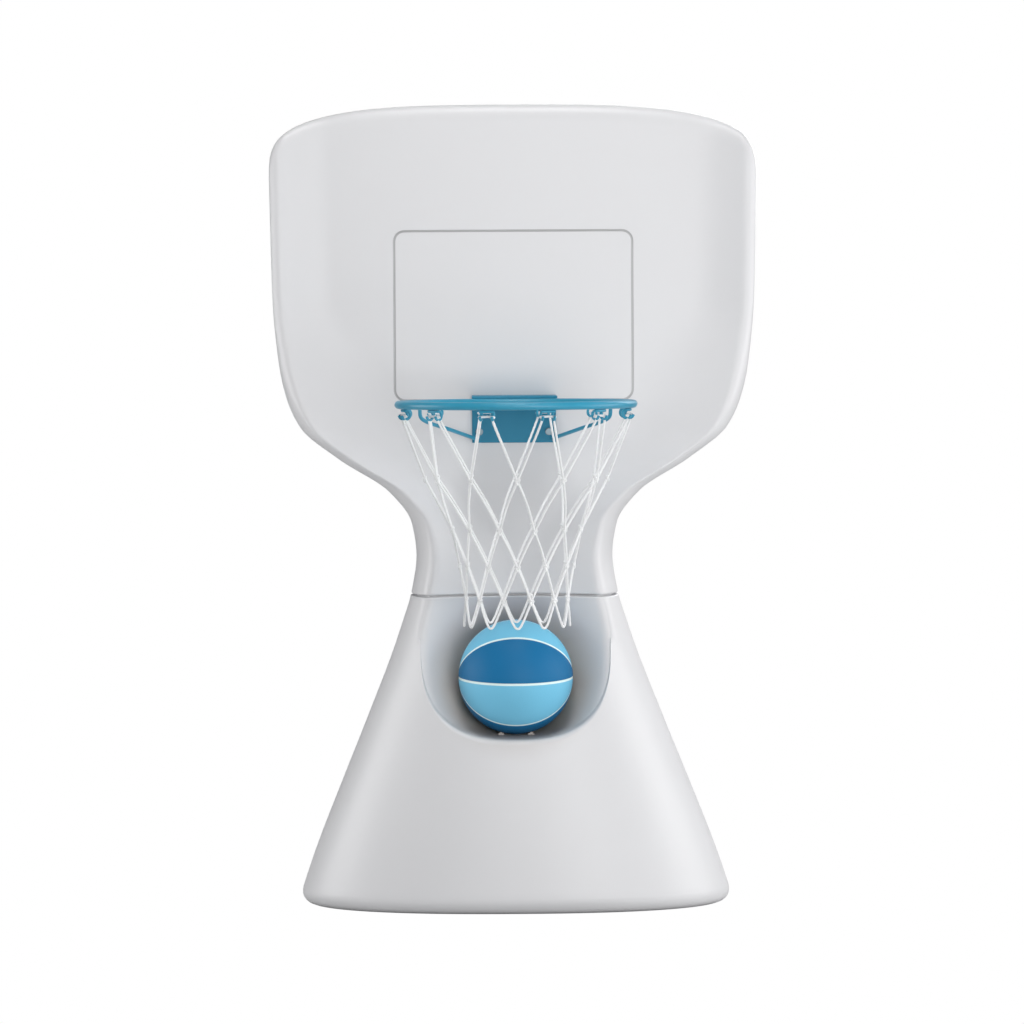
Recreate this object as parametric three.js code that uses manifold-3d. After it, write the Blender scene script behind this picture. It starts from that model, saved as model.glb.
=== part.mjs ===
// Poolside basketball hoop: a moulded base that is weighted with water and holds a spare ball,
// a moulded backboard whose neck plugs into the base, and a painted steel rim with a cord net.
// Millimetres, +Z up. The player stands on the -Y side. The origin is on the ground, under the
// middle of the whole hoop. Every piece is drawn with y = 0 on the board's face.
import * as THREE from 'three';
import { mergeVertices } from 'three/addons/utils/BufferGeometryUtils.js';
import { ConvexHull } from 'three/addons/math/ConvexHull.js';
import Module from 'manifold-3d';

const wasm = await Module();
wasm.setup();

// Base
const baseWidth = 924;
const baseFront = 190;
const baseBack = 430;
const baseMiddle = 92;
const footFillet = 22;
const footRecess = 6;
const footRim = 70;
const wall = 8;
const seamHeight = 653;
const seamFront = 60;
const seamBack = 195;
const seamMiddle = 64;
const seamRound = 3;

// Ball pocket in the base's front
const pocketWidth = 396;
const pocketFloorWidth = 120;
const pocketFloor = 357;
const pocketSideHeight = 553;
const pocketDepth = 68;
const pocketLip = 14;
const ribSpacing = 62;
const ribWidth = 11;

// Ball
const ballDiameter = 239.6;
const ballForward = 60;
const ballHeight = 485;

// Neck and backboard
const neckWidth = 414;
const neckHeight = 735;
const neckBack = 186;
const neckEdge = 38;
const boardWidth = 1020;
const boardSideTop = 1528;
const boardCrown = 153;
const boardThickness = 58;
const boardWing = 34;
const boardEdge = 20;
const boardRound = 18;
const boardWall = 6;
const rowBendHeight = 1400;
const seatHeight = 1090;

// Target square, a shallow groove sunk in the face
const grooveWidth = 504;
const grooveTop = 1419;
const grooveCorner = 25;
const grooveLine = 5;
const grooveDepth = 2.4;

// Spigot under the neck, which stands in the base's socket
const spigotWidth = 340;
const spigotFront = 54;
const spigotBack = 172;
const spigotLength = 60;

// Rim
const rimInside = 457.2;
const rimRod = 16;
const rimHeight = 1059;
const rimSetback = 151.4;
const plateWidth = 176;
const plateHeight = 100;
const plateThickness = 6;
const flangeThickness = 5;
const braceRod = 8;

// Net and its hooks
const hookCount = 12;
const hookRod = 5.6;
const hookCurl = 8.6;
const hookSpan = 24;
const curlLeanDegrees = 75;
const hornTipDegrees = -10;
const cordDiameter = 5;
const netLength = 424;

// Fasteners and water fittings
const boltDiameter = 8;
const boltHead = 13;
const boltHeadHeight = 5.3;
const boltLength = 25;
const washerDiameter = 16;
const washerThickness = 1.6;
const insertDiameter = 14;
const insertLength = 20;
const rimBoltSpread = 146;
const rimBoltRise = 53;
const rimBoltEdge = 23;
const neckBoltSpread = 180;
const fillHeight = 500;
const fillCapDiameter = 72;
const fillBore = 48;
const drainHeight = 62;
const drainCapDiameter = 46;
const drainBore = 28;
const capFlange = 9;
const plugWall = 4;
const gasketThickness = 2.5;

// Clearances
const gap = 0.3;
const slip = 0.5;
const overrun = 30;

// Worked out from the sizes above
const ballRadius = ballDiameter / 2;
const rimRadius = (rimInside + rimRod) / 2;
const rimForward = rimSetback + rimInside / 2;
const boardHalf = boardWidth / 2;
const neckHalf = neckWidth / 2;
const spigotMiddle = (spigotFront + spigotBack) / 2;
const plateTop = rimHeight + rimRod / 2 + gap + flangeThickness;
const ribHalfSpacing = ribSpacing / 2;
const mirror = [-1, 1];

// Helpers

// A smooth curve through stations of [height, value] that never overshoots them
function profile(stations) {
  const slopes = stations.slice(1).map(([height, value], i) =>
    (value - stations[i][1]) / (height - stations[i][0]));
  const tangents = stations.map((station, i) => {
    const before = slopes[i - 1] ?? slopes[0];
    const after = slopes[i] ?? slopes[slopes.length - 1];
    return before * after > 0 ? (2 * before * after) / (before + after) : 0;
  });
  return (height) => {
    const last = stations.length - 1;
    const held = Math.min(Math.max(height, stations[0][0]), stations[last][0]);
    let i = 0;
    while (i < last - 1 && held > stations[i + 1][0]) i += 1;
    const span = stations[i + 1][0] - stations[i][0];
    const t = (held - stations[i][0]) / span;
    const start = stations[i][1] * (1 + 2 * t) * (1 - t) ** 2;
    const end = stations[i + 1][1] * t ** 2 * (3 - 2 * t);
    const bend = tangents[i] * t * (1 - t) ** 2 - tangents[i + 1] * t ** 2 * (1 - t);
    return start + end + bend * span;
  };
}

// Stations given as shares between two ends, in height and in value
function between(shares, lowHeight, highHeight, lowValue, highValue) {
  return shares.map(([rise, share]) => [
    THREE.MathUtils.lerp(lowHeight, highHeight, rise),
    THREE.MathUtils.lerp(lowValue, highValue, share),
  ]);
}

// Even steps from one value up to, and without, the next
function steps(from, to, count) {
  return Array.from({ length: count }, (_, i) => THREE.MathUtils.lerp(from, to, i / count));
}

// Height of a superellipse of half sizes 1, at a share of its half width
function superArc(share, power) {
  return Math.max(0, 1 - Math.abs(share) ** power) ** (1 / power);
}

// A point moved along the line to another point, no further than half way
function towards(from, to, reach) {
  const distance = from.distanceTo(to);
  return from.clone().lerp(to, Math.min(reach / distance, 1 / 2));
}

// A closed loop moved inwards by a wall
function insetLoop(loop, inset) {
  return loop.map((point, i) => {
    const before = loop[(i + loop.length - 1) % loop.length];
    const after = loop[(i + 1) % loop.length];
    const along = after.clone().sub(before).normalize();
    return new THREE.Vector2(point.x - along.y * inset, point.y + along.x * inset);
  });
}

// Triangles across a loop, zipped from its left end to its right end
function capFaces(loop) {
  const count = loop.length;
  const ends = loop.map((point, i) => i).sort((a, b) => loop[a].x - loop[b].x);
  const left = ends[0];
  const right = ends[count - 1];
  const walk = (step) => {
    const chain = [left];
    while (chain[chain.length - 1] !== right) chain.push((chain[chain.length - 1] + step + count) % count);
    return chain;
  };
  const near = walk(1);
  const far = walk(-1);
  const faces = [];
  let i = 0;
  let j = 0;
  while (i < near.length - 1 || j < far.length - 1) {
    const nearFirst = j === far.length - 1
      || (i < near.length - 1 && loop[near[i + 1]].x <= loop[far[j + 1]].x);
    const face = nearFirst ? [near[i], near[i + 1], far[j]] : [near[i], far[j + 1], far[j]];
    if (new Set(face).size === 3) faces.push(face);
    if (nearFirst) i += 1;
    else j += 1;
  }
  return faces;
}

// Closed mesh through rows of points, with both ends capped
function loft(rows) {
  const count = rows[0].length;
  const positions = rows.flat().flatMap((point) => [point.x, point.y, point.z]);
  const faces = [];
  for (let row = 0; row < rows.length - 1; row += 1) {
    for (let i = 0; i < count; i += 1) {
      const a = row * count + i;
      const b = row * count + ((i + 1) % count);
      const rightHalf = i < count / 2;
      if (rightHalf) faces.push(a, b, b + count, a, b + count, a + count);
      else faces.push(a, b, a + count, b, b + count, a + count);
    }
  }
  const top = (rows.length - 1) * count;
  for (const [a, b, c] of capFaces(rows[0])) faces.push(a, c, b);
  for (const [a, b, c] of capFaces(rows[rows.length - 1])) faces.push(top + a, top + b, top + c);
  const geometry = new THREE.BufferGeometry();
  geometry.setAttribute('position', new THREE.Float32BufferAttribute(positions, 3));
  geometry.setIndex(faces);
  return geometry;
}

// A loop in plan lifted to one height
const atHeight = (loop, height) => loop.map((point) => new THREE.Vector3(point.x, point.y, height));

// Geometry to solid and back
function solid(geometry) {
  const bare = geometry.clone();
  for (const name of Object.keys(bare.attributes)) if (name !== 'position') bare.deleteAttribute(name);
  const merged = mergeVertices(bare);
  const corners = Array.from(merged.index.array);
  // Rows that coincide leave triangles with two corners in one place, which are dropped
  const kept = corners.filter((corner, i) => {
    const first = i - (i % 3);
    return new Set(corners.slice(first, first + 3)).size === 3;
  });
  return new wasm.Manifold(new wasm.Mesh({
    numProp: 3,
    vertProperties: new Float32Array(merged.attributes.position.array),
    triVerts: new Uint32Array(kept),
  }));
}

function toGeometry(manifold) {
  const mesh = manifold.getMesh();
  const geometry = new THREE.BufferGeometry();
  geometry.setAttribute('position', new THREE.BufferAttribute(mesh.vertProperties, 3));
  geometry.setIndex(new THREE.BufferAttribute(mesh.triVerts, 1));
  return geometry;
}

const joined = (solids) => solids.reduce((whole, piece) => whole.add(piece));
const cut = (whole, tools) => tools.reduce((left, tool) => left.subtract(tool), whole);

// Solid rod along y from one depth to another
function rodAlongY(radius, from, to, x, z, sides) {
  const rod = new THREE.CylinderGeometry(radius, radius, to - from, sides);
  rod.translate(x, (from + to) / 2, z);
  return solid(rod);
}

// Box between two depths and two heights, centred on x
function box(width, fromY, toY, fromZ, toZ, x) {
  const shape = new THREE.BoxGeometry(width, toY - fromY, toZ - fromZ);
  shape.translate(x, (fromY + toY) / 2, (fromZ + toZ) / 2);
  return solid(shape);
}

// Rod of round section along a curve
function rodAlong(curve, diameter, stepCount, sides) {
  const section = new THREE.Shape();
  for (let i = 0; i < sides; i += 1) {
    const turn = (i / sides) * 2 * Math.PI;
    const x = (diameter / 2) * Math.cos(turn);
    const y = (diameter / 2) * Math.sin(turn);
    if (i === 0) section.moveTo(x, y);
    else section.lineTo(x, y);
  }
  section.closePath();
  return new THREE.ExtrudeGeometry(section, { steps: stepCount, extrudePath: curve, curveSegments: 1 });
}

// Turned solid about the y axis, from a closed profile of [radius, depth]
function turned(points, segments) {
  const lathe = new THREE.LatheGeometry(points.map(([r, y]) => new THREE.Vector2(r, y)), segments);
  return lathe;
}

const hoop = new THREE.Group();

function add(name, geometry, material, x = 0, y = 0, z = 0) {
  const mesh = new THREE.Mesh(geometry, material.clone());
  mesh.name = name;
  mesh.position.set(x, y, z);
  hoop.add(mesh);
  return mesh;
}

// Finishes
const plastic = new THREE.MeshStandardMaterial({ color: 0xdfdfe4, roughness: 0.42, metalness: 0 });
const paint = new THREE.MeshStandardMaterial({ color: 0x0f77a6, roughness: 0.32, metalness: 0.2 });
const steel = new THREE.MeshStandardMaterial({ color: 0xc9ccd0, roughness: 0.3, metalness: 1 });
const brass = new THREE.MeshStandardMaterial({ color: 0xb5923f, roughness: 0.35, metalness: 1 });
const cord = new THREE.MeshStandardMaterial({ color: 0xf4f6f8, roughness: 0.8, metalness: 0 });
const ballSkin = new THREE.MeshStandardMaterial({ color: 0x2c7fb4, roughness: 0.6, metalness: 0 });
const capPlastic = new THREE.MeshStandardMaterial({ color: 0x9a9da3, roughness: 0.5, metalness: 0 });
const rubber = new THREE.MeshStandardMaterial({ color: 0x26272a, roughness: 0.85, metalness: 0 });

// The outer form of base, neck and board, level by level

// Shares of height and width: the flank leaves the ground straight and eases into the neck
const flankShares = [[0, 1], [0.163, 0.839], [0.348, 0.629], [0.535, 0.412], [0.72, 0.204],
  [0.812, 0.114], [0.888, 0.047], [1, 0]];
const flareShares = [[0, 0], [0.085, 0.031], [0.17, 0.19], [0.255, 0.528], [0.34, 0.795],
  [0.424, 0.894], [0.508, 0.94], [0.676, 0.98], [1, 1]];
const halfWidth = profile([
  ...between(flankShares, 0, neckHeight, neckHalf, baseWidth / 2),
  ...between(flareShares, neckHeight, boardSideTop, neckHalf, boardHalf).slice(1),
]);

// Depth of the widest line, of the back, and of the ridge between the face and the side
const edgeMiddle = boardEdge - boardWing;
const middleDepth = profile([[0, baseMiddle], [seamHeight, seamMiddle],
  ...between([[0, 0], [0.12, 0.1], [0.5, 0.85], [0.7, 1]], neckHeight, boardSideTop, seamMiddle, edgeMiddle)]);
const backDepth = profile([[0, baseBack], [seamHeight, seamBack],
  ...between([[0, 0], [0.2, 0.3], [0.45, 0.85], [0.6, 1]], neckHeight, boardSideTop, neckBack,
    boardThickness)]);
const ridgeDepth = profile([[seamHeight, -seamFront],
  ...between([[0, 0], [0.3, 0.25], [0.6, 1]], neckHeight, boardSideTop, -seamFront, -boardWing)]);
const ridgeInset = profile([[seamHeight, neckEdge],
  ...between([[0, 0], [0.3, 0.5], [0.6, 1]], neckHeight, boardSideTop, neckEdge, boardEdge)]);
const flatShare = profile([[seamHeight, 0], [neckHeight, 0.05],
  ...between([[0.12, 0.45], [0.22, 0.52], [0.4, 0.52], [0.65, 0.78]], neckHeight, boardSideTop, 0, 1)]);
// How far the back follows the face's wings, from none at the neck to all on the board
const wingShare = profile([[neckHeight, 0],
  ...between([[0.2, 0.1], [0.5, 1]], neckHeight, boardSideTop, 0, 1)]);
const backPower = profile([[0, 2.5], [seamHeight, 3],
  ...between([[0.1, 3], [0.35, 6], [0.6, 16]], neckHeight, boardSideTop, 0, 1)]);

// The pocket's back wall, as shares of its height and depth
const pocketBackShares = [[0, 0.37], [0.08, 0.66], [0.22, 0.88], [0.42, 1], [0.62, 0.94],
  [0.82, 0.5], [1, 0]];
const pocketBackDepth = profile(between(pocketBackShares, pocketFloor, seamHeight, 0, pocketDepth));
const pocketPower = 2.6;
const frontPower = 2.4;

// Half width of the pocket's mouth. Below the floor it only spaces the front's columns.
function mouthHalf(height, ridgeHalf) {
  const floorHalf = pocketFloorWidth / 2;
  const sideHalf = pocketWidth / 2;
  if (height < pocketFloor) {
    return THREE.MathUtils.lerp(sideHalf, floorHalf, (height / pocketFloor) ** 4);
  }
  if (height < pocketSideHeight) {
    const drop = (pocketSideHeight - height) / (pocketSideHeight - pocketFloor);
    return floorHalf + (sideHalf - floorHalf) * superArc(drop, pocketPower);
  }
  const rise = (height - pocketSideHeight) / (seamHeight - pocketSideHeight);
  return THREE.MathUtils.lerp(sideHalf, ridgeHalf, rise ** 2);
}

// Depth of the base's bowed front before the pocket is hollowed out of it
const seamRidge = halfWidth(seamHeight) - neckEdge;
const seamReach = (seamMiddle + seamFront) / superArc(seamRidge / halfWidth(seamHeight), frontPower);
function frontDepth(height) {
  return THREE.MathUtils.lerp(-baseFront, seamMiddle - seamReach, height / seamHeight);
}

// Everything that describes one level: widths are half widths, depths are along y
function level(height, hollowed) {
  const width = halfWidth(height);
  const middle = middleDepth(height);
  const form = { height, width, middle, back: backDepth(height), power: backPower(height) };
  if (height >= seamHeight && hollowed) {
    form.ridge = width - ridgeInset(height);
    form.ridgeDepth = ridgeDepth(height);
    form.reach = (middle - form.ridgeDepth) / superArc(form.ridge / width, frontPower);
    form.wing = wingShare(height);
    const flat = flatShare(height);
    form.face = (share) => form.ridgeDepth * (Math.max(0, share - flat) / (1 - flat)) ** 2;
  } else {
    const front = frontDepth(height);
    const outer = (x) => middle - (middle - front) * superArc(x / width, frontPower);
    form.reach = middle - front;
    form.ridge = mouthHalf(height, seamRidge);
    form.ridgeDepth = outer(form.ridge);
    form.wing = 0;
    const centre = pocketBackDepth(height);
    form.face = hollowed
      ? (share) => THREE.MathUtils.lerp(centre, form.ridgeDepth, share ** 2)
      : (share) => outer(form.ridge * share);
  }
  return form;
}

// Where the columns of a level lie, as shares across the face, the side and the back
const faceShares = [0, 0.25, 0.5, 0.7, 0.85, 0.95];
const baseSideShares = [0.08, 0.24, 0.43, 0.63, 0.83, 1];
const boardSideShares = [0.1, 0.4, 0.75, 1];
const backShares = [0.16, 0.34, 0.52, 0.7, 0.86];

// Depth of the face and of the back at a distance from the middle
function faceAt(form, x) {
  if (x <= form.ridge) return form.face(x / form.ridge);
  return form.middle - form.reach * superArc(x / form.width, frontPower);
}

function backAt(form, x) {
  const bend = form.wing ? form.wing * form.face(Math.min(1, x / form.ridge)) : 0;
  return form.middle + (form.back - form.middle + bend) * superArc(x / form.width, form.power);
}

// One level as a closed loop in plan, from the front's middle round by +x
function levelLoop(form, lip, sideShares) {
  const at = (x, y) => new THREE.Vector2(x, y);
  const half = faceShares.map((share) => at(form.ridge * share, form.face(share)));
  const startTurn = Math.acos((form.ridge / form.width) ** (frontPower / 2));
  const side = sideShares.map((share) => {
    const turn = startTurn * (1 - share);
    return at(form.width * Math.cos(turn) ** (2 / frontPower),
      form.middle - form.reach * Math.sin(turn) ** (2 / frontPower));
  });
  const ridge = at(form.ridge, form.ridgeDepth);
  const before = towards(ridge, half[half.length - 1], lip);
  const after = towards(ridge, side[0], lip);
  const middle = before.clone().add(after).lerp(ridge.clone().multiplyScalar(2), 1 / 2).divideScalar(2);
  half.push(before, middle, after, ...side);
  for (const share of [...backShares, 1]) {
    const turn = (share * Math.PI) / 2;
    const x = share === 1 ? 0 : form.width * Math.cos(turn) ** (2 / form.power);
    half.push(at(x, backAt(form, x)));
  }
  const left = half.slice(1, -1).reverse().map((point) => at(-point.x, point.y));
  return [...half, ...left];
}

// Base

const filletShares = [0, 0.3, 0.7, 1];
const pocketRowShares = [0.02, 0.07, 0.15, 0.27, 0.43, 0.62, 0.82];
const lipFadeShare = 0.1;
const flankRows = 6;
const cheekRows = 4;
// A hollow keeps every other row of the form around it
const rowsFor = (inset, shares) => shares.filter((share, i) => !inset || i % 2 === 0 || share === 1);

// The base's whole form, or the same form shrunk by a wall for its hollow
function baseForm(inset) {
  const rows = [];
  const put = (form, height, shrink) => {
    const loop = levelLoop(form, pocketLip + inset, baseSideShares);
    rows.push(atHeight(insetLoop(loop, shrink), height));
  };
  const bottom = inset ? inset + footRecess : 0;
  for (const share of rowsFor(inset, filletShares)) {
    const turn = (share * Math.PI) / 2;
    const height = bottom + (footFillet - bottom) * (1 - Math.cos(turn));
    put(level(height, false), height, inset + (footFillet - inset) * (1 - Math.sin(turn)));
  }
  const lipStart = pocketFloor - pocketLip;
  for (const height of rowsFor(inset, steps(footFillet, lipStart, flankRows).slice(1))) {
    put(level(height, false), height, inset);
  }
  // Below the pocket the front turns in to meet its floor
  for (const share of rowsFor(inset, filletShares)) {
    const turn = (share * Math.PI) / 2;
    const height = lipStart + pocketLip * Math.sin(turn);
    const form = level(height, false);
    const face = form.face;
    form.face = (across) => face(across) + pocketLip * (1 - Math.cos(turn));
    form.ridgeDepth += pocketLip * (1 - Math.cos(turn));
    put(form, height - inset, inset);
  }
  for (const share of rowsFor(inset, [0, ...pocketRowShares])) {
    const height = THREE.MathUtils.lerp(pocketFloor, pocketSideHeight, share);
    const form = level(height, true);
    form.ridgeDepth += pocketLip * Math.max(0, 1 - share / lipFadeShare);
    put(form, height - inset * (1 - share), inset);
  }
  const seamStart = seamHeight - (inset || seamRound);
  for (const height of [...rowsFor(inset, steps(pocketSideHeight, seamStart, cheekRows)), seamStart]) {
    put(level(height, true), height, inset);
  }
  if (!inset) put(level(seamHeight, true), seamHeight, seamRound);
  return solid(loft(rows));
}

// Post with a superellipse outline: the spigot, its hollow and the base's socket
const postSides = 32;
const postPower = 4;
function spigotPost(grow, fromHeight, toHeight) {
  const rounded = (value) => Math.sign(value) * Math.abs(value) ** (2 / postPower);
  const loop = Array.from({ length: postSides }, (_, i) => {
    const turn = (i / postSides) * 2 * Math.PI;
    return new THREE.Vector2((spigotWidth / 2 + grow) * rounded(Math.cos(turn)),
      spigotMiddle + ((spigotBack - spigotFront) / 2 + grow) * rounded(Math.sin(turn)));
  });
  return solid(loft([atHeight(loop, fromHeight), atHeight(loop, toHeight)]));
}

// A water fitting sits at the foot of a round well that is sunk in the sloping back
const fillWell = fillCapDiameter / 2 + wall;
const drainWell = drainCapDiameter / 2 + wall;
const fillSeat = backDepth(fillHeight + fillWell) - capFlange - gasketThickness;
const drainSeat = backDepth(drainHeight + drainWell) - capFlange - gasketThickness;
const neckBoltHeight = seamHeight - spigotLength / 2;
const neckBoltSeat = spigotBack + wall;
const boltWell = washerDiameter / 2 + 2 * slip;
const ribTop = ballHeight - Math.sqrt(ballRadius ** 2 - (ribHalfSpacing - ribWidth / 2) ** 2) - gap;
const neckBoltSides = mirror.map((side) => (side * neckBoltSpread) / 2);
// The spigot's back bows, so its inserts end level with the lowest point over them
const insertReach = (neckBoltSpread + insertDiameter) / spigotWidth;
const neckInsertEnd = spigotMiddle + ((spigotBack - spigotFront) / 2) * superArc(insertReach, postPower) - gap;

// Rail on the pocket's floor that the ball rests on, with a rounded nose
function ballRail(x) {
  const noseRadius = ribTop - pocketFloor;
  const noseDepth = frontDepth(pocketFloor) + pocketLip + 2 * noseRadius;
  const side = new THREE.Shape();
  side.moveTo(pocketDepth / 2, pocketFloor - wall / 2);
  side.lineTo(pocketDepth / 2, ribTop);
  side.lineTo(noseDepth, ribTop);
  side.absarc(noseDepth, pocketFloor, noseRadius, Math.PI / 2, Math.PI, false);
  side.lineTo(noseDepth - noseRadius, pocketFloor - wall / 2);
  side.closePath();
  const rail = new THREE.ExtrudeGeometry(side, { depth: ribWidth, bevelEnabled: false, curveSegments: 4 });
  // The drawing's x and y become the hoop's y and z
  rail.applyMatrix4(new THREE.Matrix4().makeBasis(
    new THREE.Vector3(0, 1, 0), new THREE.Vector3(0, 0, 1), new THREE.Vector3(1, 0, 0)));
  rail.translate(x - ribWidth / 2, 0, 0);
  return solid(rail);
}

function footHollow() {
  const loop = insetLoop(levelLoop(level(0, false), pocketLip, baseSideShares), footRim);
  return solid(loft([atHeight(loop, -overrun), atHeight(loop, footRecess)]));
}

function baseShell() {
  const socketFloor = seamHeight - spigotLength - slip;
  const back = baseBack + overrun;
  const hollow = cut(baseForm(wall), [
    spigotPost(slip + wall, socketFloor - wall, seamHeight),
    rodAlongY(fillWell + wall, fillSeat - wall, back, 0, fillHeight, 24),
    rodAlongY(drainWell + wall, drainSeat - wall, back, 0, drainHeight, 24),
    ...neckBoltSides.map((x) => rodAlongY(boltWell + wall, spigotMiddle, back, x, neckBoltHeight, 16)),
  ]);
  const form = joined([baseForm(0), ...mirror.map((side) => ballRail(side * ribHalfSpacing))]);
  return toGeometry(cut(form, [
    hollow,
    footHollow(),
    spigotPost(slip, socketFloor, seamHeight + overrun),
    rodAlongY(fillWell, fillSeat, back, 0, fillHeight, 24),
    rodAlongY(fillBore / 2, fillSeat - wall - overrun, back, 0, fillHeight, 24),
    rodAlongY(drainWell, drainSeat, back, 0, drainHeight, 24),
    rodAlongY(drainBore / 2, drainSeat - wall - overrun, back, 0, drainHeight, 24),
    ...neckBoltSides.map((x) => rodAlongY(boltWell, neckBoltSeat, back, x, neckBoltHeight, 16)),
    ...neckBoltSides.map((x) => rodAlongY(boltDiameter / 2 + slip, spigotMiddle, back, x,
      neckBoltHeight, 12)),
  ]));
}
add('base_shell', baseShell(), plastic);

// Backboard

const crownPower = 3.3;
const neckRowShares = [0, 0.09, 0.19, 0.29, 0.39, 0.49, 0.59, 0.7, 0.82, 1];
const boardRowShares = [0.25, 0.5, 0.75];
const crownRowShares = [0, 0.3, 0.6, 0.85];

// Rows above the bend rise in the middle, until the last one is the board's crowned top
function boardRow(form, height, inset, squeeze) {
  const bend = Math.max(0, (height - rowBendHeight) / (boardSideTop - rowBendHeight));
  return insetLoop(levelLoop(form, pocketLip / 2, boardSideShares), inset).map((point) => {
    const x = Math.abs(point.x);
    const front = faceAt(form, x);
    const back = backAt(form, x);
    const onFace = Math.abs(point.y - front) < Math.abs(point.y - back);
    const y = THREE.MathUtils.lerp(point.y, onFace ? back : front, squeeze);
    return new THREE.Vector3(point.x, y, height + bend * boardCrown * superArc(x / form.width, crownPower));
  });
}

function boardForm(inset) {
  const rows = [];
  const put = (height, squeeze = 0) => {
    rows.push(boardRow(level(height, true), height, inset, squeeze));
  };
  const start = seamHeight + (inset ? wall : seamRound);
  if (!inset) rows.push(boardRow(level(seamHeight, true), seamHeight, seamRound, 0));
  for (const height of [...steps(start, neckHeight, 2)]) put(height);
  for (const share of neckRowShares) put(THREE.MathUtils.lerp(neckHeight, seatHeight, share));
  for (const share of boardRowShares) put(THREE.MathUtils.lerp(seatHeight, rowBendHeight, share));
  const top = boardSideTop - inset;
  const roundStart = top - boardRound;
  for (const share of crownRowShares) put(THREE.MathUtils.lerp(rowBendHeight, roundStart, share));
  for (const share of rowsFor(inset, filletShares)) {
    const turn = (share * Math.PI) / 2;
    const height = roundStart + boardRound * Math.sin(turn);
    put(height, (boardRound / boardThickness) * (1 - Math.cos(turn)));
  }
  return solid(loft(rows));
}

// The target square: a line sunk in the face
function targetGroove() {
  const outline = (inset) => {
    const halfWidthInside = grooveWidth / 2 - inset;
    const low = rimHeight + inset;
    const high = grooveTop - inset;
    const corner = grooveCorner - inset;
    const path = new THREE.Path();
    path.moveTo(halfWidthInside, low + corner);
    path.absarc(halfWidthInside - corner, high - corner, corner, 0, Math.PI / 2, false);
    path.absarc(corner - halfWidthInside, high - corner, corner, Math.PI / 2, Math.PI, false);
    path.absarc(corner - halfWidthInside, low + corner, corner, Math.PI, (3 * Math.PI) / 2, false);
    path.absarc(halfWidthInside - corner, low + corner, corner, (3 * Math.PI) / 2, 2 * Math.PI, false);
    return path.getPoints(6);
  };
  const shape = new THREE.Shape(outline(0));
  shape.holes.push(new THREE.Path(outline(grooveLine)));
  const line = new THREE.ExtrudeGeometry(shape, { depth: 2 * grooveDepth, bevelEnabled: false });
  line.rotateX(Math.PI / 2);
  line.translate(0, grooveDepth, 0);
  return solid(line);
}

const rimBoltPlaces = mirror.flatMap((side) => [0, rimBoltRise].map((rise) => ({
  x: (side * rimBoltSpread) / 2,
  z: plateTop - plateHeight + rimBoltEdge + rise,
})));
const insertBoss = insertDiameter / 2 + boardWall;

function backboardShell() {
  const spigotFoot = seamHeight - spigotLength;
  const hollow = cut(boardForm(boardWall).add(
    spigotPost(-boardWall, spigotFoot - overrun, seamHeight + 2 * wall)), [
    ...rimBoltPlaces.map(({ x, z }) => rodAlongY(insertBoss, -overrun, insertLength + boardWall, x, z, 12)),
    ...neckBoltSides.map((x) => rodAlongY(insertBoss, neckInsertEnd - insertLength - boardWall,
      spigotBack, x, neckBoltHeight, 12)),
  ]);
  const form = boardForm(0).add(spigotPost(0, spigotFoot, seamHeight + wall / 2));
  const bore = insertDiameter / 2 + gap;
  return toGeometry(cut(form, [
    hollow,
    targetGroove(),
    ...rimBoltPlaces.map(({ x, z }) => rodAlongY(bore, -overrun, insertLength + gap, x, z, 12)),
    ...neckBoltSides.map((x) => rodAlongY(bore, neckInsertEnd - insertLength - gap, spigotBack + overrun,
      x, neckBoltHeight, 12)),
  ]));
}
add('backboard_shell', backboardShell(), plastic);

// Fasteners, each lying along y with its head towards -y

function hexBolt() {
  const head = new THREE.CylinderGeometry(boltHead / Math.sqrt(3), boltHead / Math.sqrt(3), boltHeadHeight, 6);
  head.translate(0, -boltHeadHeight / 2, 0);
  return toGeometry(solid(head).add(rodAlongY(boltDiameter / 2, -boltHeadHeight / 2, boltLength, 0, 0, 12)));
}

// Ring about the y axis, from one depth to another
function ringAboutY(inner, outer, from, to, segments) {
  return turned([[inner, from], [outer, from], [outer, to], [inner, to], [inner, from]], segments);
}

const boltShape = hexBolt();
const washerShape = ringAboutY(boltDiameter / 2 + slip, washerDiameter / 2, -washerThickness, 0, 12);
const insertShape = ringAboutY(boltDiameter / 2 + gap, insertDiameter / 2, 0, insertLength, 12);
rimBoltPlaces.forEach(({ x, z }, i) => {
  add(`rim_bolt_${i + 1}`, boltShape, steel, x, -plateThickness - washerThickness, z);
  add(`rim_washer_${i + 1}`, washerShape, steel, x, -plateThickness, z);
  add(`rim_insert_${i + 1}`, insertShape, brass, x, 0, z);
});
neckBoltSides.forEach((x, i) => {
  const seat = neckBoltSeat + washerThickness;
  add(`neck_bolt_${i + 1}`, boltShape, steel, x, seat, neckBoltHeight).rotation.z = Math.PI;
  add(`neck_washer_${i + 1}`, washerShape, steel, x, neckBoltSeat + washerThickness, neckBoltHeight);
  add(`neck_insert_${i + 1}`, insertShape, brass, x, neckInsertEnd - insertLength, neckBoltHeight);
});

// Rim

const ringShape = new THREE.TorusGeometry(rimRadius, rimRod / 2, 8, 48);
add('rim_ring', ringShape, paint, 0, -rimForward, rimHeight);

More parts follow.
